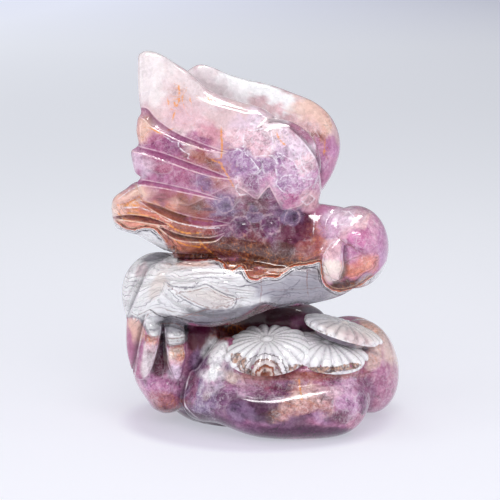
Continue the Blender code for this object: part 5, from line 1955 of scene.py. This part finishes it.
def finish_stone(material):
    tree, shader, place = begun(material)
    wash_colour = stored(tree, "wash", "Color")
    rust, veil, crystal = split(stored(tree, "marks", "Color"))
    above_agate = stored(tree, "above_agate")
    above_rock = unrest(place, 0.8, 4.0) * 1.2 + stored(tree, "above_rock")

    amethyst = amethyst_colour(place, wash_colour, rust, veil, crystal)
    amethyst = large_crystals(place, amethyst, veil)
    amethyst = round_crystals(place, amethyst, rust)
    amethyst = mixed(fine_line(place, "orange", *ORANGE_SEAM), amethyst, SEAM_ORANGE)
    amethyst = lace_and_flames(place, amethyst, above_agate, rust)
    amethyst = carved_bands(place, amethyst, rust)
    agate, layers = agate_colour(place, wash_colour)

    in_agate = ranged(above_agate, 0.15, -0.15) * ranged(above_rock, -0.15, 0.15)
    colour = mixed(in_agate, amethyst, agate)
    colour = mixed(ranged(above_rock, 0.0, 1.0), colour, border_bands(place, colour, above_agate))
    rim = ranged(above_rock, 0.9, 0.25) * ranged(above_rock, -0.5, 0.1)
    colour = mixed(rim * 0.6, colour, mixed(rust, LINE_GREY, RUST_RED))
    for family, width, breaks, strength, ink in LINE_LOOKS:
        colour = mixed(fine_line(place, family, width, breaks) * strength, colour, ink)
    polished(shader, place, rims(place, colour), noise(place, 0.6, 3.0) * 0.15 + layers * in_agate, 0.8)


finish_stone(amethyst_finish)
print("stone finish:", len(amethyst_finish.node_tree.nodes), "nodes")

# %% [markdown]
# ## The rosettes' finish
#
# The rosettes are cut from the agate layer, so they are white, with painted grey shade in the grooves and brown
# where the rims reach the rusty layer below. The angle round the button gives the hair lines, which are painted
# as darker shade, as is the crease round the button. On the front rosette the cut went through a small eye of
# the agate, which shows as nested brown and white arcs at the lower rim.

# %% Rosette agate
# The grey of the painted shade in the rosettes' valleys
VALLEY_SHADE_GREY = "#cdc8d2"
BUTTON_RING = 0.155
RINGS, RING_SPACING, RING_WIDTH = 11.0, 0.7, 0.16
ARCH_REACH = 7.6
ARCH_STOPS = [
    (0, "#6b3526"), (0.13, "#8f4a30"), (0.19, "#dcc6ba"), (0.26, "#cfb5ac"), (0.31, "#9c5535"), (0.37, "#7a3c2c"),
    (0.42, "#e8dcd8"), (0.54, "#dccdca"), (0.6, "#7f4d3e"), (0.65, "#f1eff0"), (0.77, "#eeebec"), (0.81, "#5d555b"),
    (0.85, "#f5f4f6"),
]


def finish_rosettes(material):
    tree, shader, place = begun(material)
    across, up, rays = (stored(tree, "rosette_" + name) for name in ("across", "up", "rays"))
    reach = length(joined(across, up, 0))
    wave = maths("COSINE", maths("ARCTAN2", up, across) * rays)
    valley_shade = ranged(wave, 0.2, -1.0) * ranged(reach, 0.15, 0.4)
    hair = ranged(wave, -0.75, -1.0) * ranged(reach, 0.14, 0.2)
    ring = line_at(reach - BUTTON_RING, 0.0, 0.025)

    bands = agate_bands(place, reach * RINGS, RING_SPACING, RING_WIDTH)
    shade = ranged(bands["Shade"], 0.0, 1.0, 0.99, 1.07, smooth=False)
    colour = inked(shaded(stored(tree, "rosette_wash", "Color"), shade), bands, 0.25)
    # Painted grey shade in the valleys between the rays
    colour = mixed(valley_shade * 0.25, colour, VALLEY_SHADE_GREY, "MULTIPLY")
    # Painted shade in the hair lines and in the crease round the button
    groove_shade = maths("MAXIMUM", hair * ranged(noise(place, 0.5, 3.0), 0.4, 0.6) * 0.3, ring * 0.15)
    colour = mixed(groove_shade, colour, LINE_GREY)
    arch = unrest(place, 0.7, 4.0, 0.6) * 2.6 + stored(tree, "arch")
    arcs = ramp(arch / ARCH_REACH, ARCH_STOPS)
    colour = mixed(ranged(arch, ARCH_REACH, 0.9 * ARCH_REACH), colour, arcs, "MULTIPLY")
    stained = stored(tree, "rosette_rust") * 0.5 + noise(place, 0.8, 5.0, 0.7)
    brown = mixed(ranged(noise(place, 1.3, 3.0), 0.4, 0.6), LACE_TAN, GROOVE_BROWN)
    colour = mixed(ranged(stained, 0.7, 0.98, 0.0, 0.85), colour, brown, "MULTIPLY")
    polished(shader, place, colour, noise(place, 0.8, 3.0) - (hair + ring), 0.35)


finish_rosettes(rosette_finish)
print("rosette finish:", len(rosette_finish.node_tree.nodes), "nodes")

# %% [markdown]
# ## The finished piece
#
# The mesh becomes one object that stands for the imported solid. Its middle is moved onto the origin, as the
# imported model's is, and it loses the last two hundredths of a millimetre, as a final polish would take, so
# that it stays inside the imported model's box. Edges that turn sharply, such as the one round the ground foot,
# are kept sharp.

# %% One stone
SHARP_TURN = math.radians(55)
LAST_POLISH = 0.9998
stone.transform(Matrix.Scale(LAST_POLISH, 4) @ Matrix.Translation(-FOOTPRINT_MIDDLE))
stone.shade_smooth()
stone.set_sharp_from_angle(angle=SHARP_TURN)
carved_stone = linked("carved_stone", stone)
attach(carved_stone, "root")
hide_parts("eagle_carving")
print("carved stone:", len(stone.polygons), "triangles")

# %% [markdown]
# ## Floor
#
# The stone stands on a pale floor that runs far back and darkens a little with distance, as a paper sweep
# does. The floor also glows a little: painted light that lifts its shadows, at the back stronger on the left
# than on the right. Close round the foot its colour is painted darker and violet, a painted shadow tinted as
# light that has passed through amethyst is.

# %% Floor
FLOOR_REACH = 4.0
FLOOR_DEPTH = 2.5
FLOOR_GLOW = 1.16
FLOOR_SURFACE = {"Roughness": 0.7, "Specular IOR Level": 0.2, "Emission Strength": FLOOR_GLOW}
PAINTED_SHADOW_SPREAD = (23, 30, 0)
PAINTED_SHADOW_VIOLET = "#a883ae"
GLOW_STOPS = [(0, "#aaacb3"), (0.12, "#a6aaaf"), (0.5, "#b2b6bc"), (1, "#acb1c2")]
FLOOR_STOPS = [(0, "#bfbfc4"), (0.12, "#cdcdd2"), (0.3, "#c6c6cc"), (1, "#c4c6d2")]


def finish_floor(material):
    material.use_nodes = True
    place = add_node(material.node_tree, "ShaderNodeTexCoord")["Object"]
    across, back, _ = split(place)
    far = ranged(back, 0.0, FLOOR_DEPTH, smooth=False)
    away = length(vector_maths("MULTIPLY", place, PAINTED_SHADOW_SPREAD))
    # A painted shadow: the floor's colour darkened and made violet close round the foot
    colour = mixed(ranged(away, 0.98, 0.8, 0.0, 0.5), ramp(far, FLOOR_STOPS), PAINTED_SHADOW_VIOLET, "MULTIPLY")
    # The floor's glow is painted light, at the back stronger on the left than on the right
    side = ranged(across * back, -0.5, 0.7, 1.12, 0.62, smooth=False)
    glow = mixed(1.0, ramp(far, GLOW_STOPS), joined(side, side, side), "MULTIPLY")
    shader = material.node_tree.nodes["Principled BSDF"]
    feed(shader.inputs, FLOOR_SURFACE | {"Base Color": colour, "Emission Color": glow})


floor_mesh = bpy.data.meshes.new("floor")
floor_corners = [(x * FLOOR_REACH, y * FLOOR_REACH, 0) for x, y in ((-1, -1), (1, -1), (1, 1), (-1, 1))]
floor_mesh.from_pydata(floor_corners, [], [(0, 1, 2, 3)])
floor_mesh.materials.append(bpy.data.materials.new("pale_floor"))
finish_floor(floor_mesh.materials[0])
floor = linked("floor", floor_mesh)
floor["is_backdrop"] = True
print("floor:", 2 * FLOOR_REACH, "m wide")

# %% [markdown]
# ## Light
#
# The key light hangs in front, half way up, and two weaker ones fill from the left and the right. A long strip
# overhead shows only as a highlight: it draws the streaks on the wing and the rock. Panels at the sides and
# a pale sky fill the shadows.

# %% Lights
CHEST = Vector((0, 0, 0.05))
SKY_COLOUR, SKY_STRENGTH = "#eceaf0", 0.42

# Name, place, size and power, then whether it shows in reflections and whether it lights the surfaces
PANELS = [
    ("key", (0.03, -0.38, 0.41), (0.42, 0.34), 0.95, False, True),
    ("left_fill", (-0.45, -0.45, 0.24), (0.3, 0.3), 0.68, False, True),
    ("right_fill", (0.45, -0.45, 0.24), (0.3, 0.3), 0.72, False, True),
    ("overhead", (-0.02, -0.02, 0.5), (0.3, 0.09), 0.4, True, True),
    ("glint", (0.03, -0.03, 0.5), (0.4, 0.075), 1.45, True, False),
    ("left_panel", (-0.6, -0.15, 0.3), (0.15, 0.5), 0.6, True, True),
    ("right_panel", (0.6, -0.1, 0.3), (0.15, 0.5), 0.3, True, True),
]
for name, place, size, power, glossy, diffuse in PANELS:
    light = bpy.data.lights.new(name, "AREA")
    light.shape = "RECTANGLE"
    light.size, light.size_y = size
    light.energy = power
    panel = linked(name, light)
    panel.location = place
    panel.rotation_euler = (CHEST - Vector(place)).to_track_quat("-Z", "Y").to_euler()
    panel.visible_glossy, panel.visible_diffuse = glossy, diffuse
world = bpy.data.worlds.new("studio")
world.use_nodes = True
feed(world.node_tree.nodes["Background"].inputs, {"Color": rgba(SKY_COLOUR), "Strength": SKY_STRENGTH})
bpy.context.scene.world = world
bpy.context.scene.view_settings.view_transform = "Standard"
print("lights:", len(PANELS))

# %% [markdown]
# ## Sizes
#
# Last, the change from the box of the imported model to the box of the finished piece is printed, so that
# the two can be compared. The looks must not make the object bigger.

# %% Print the change of the box
DRESSED_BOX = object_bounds()
growth = [f"{(b - a) / MM:+.2f}" for old, new in zip(CAD_BOX, DRESSED_BOX) for a, b in zip(old, new)]
print("change of the box in mm:", growth)
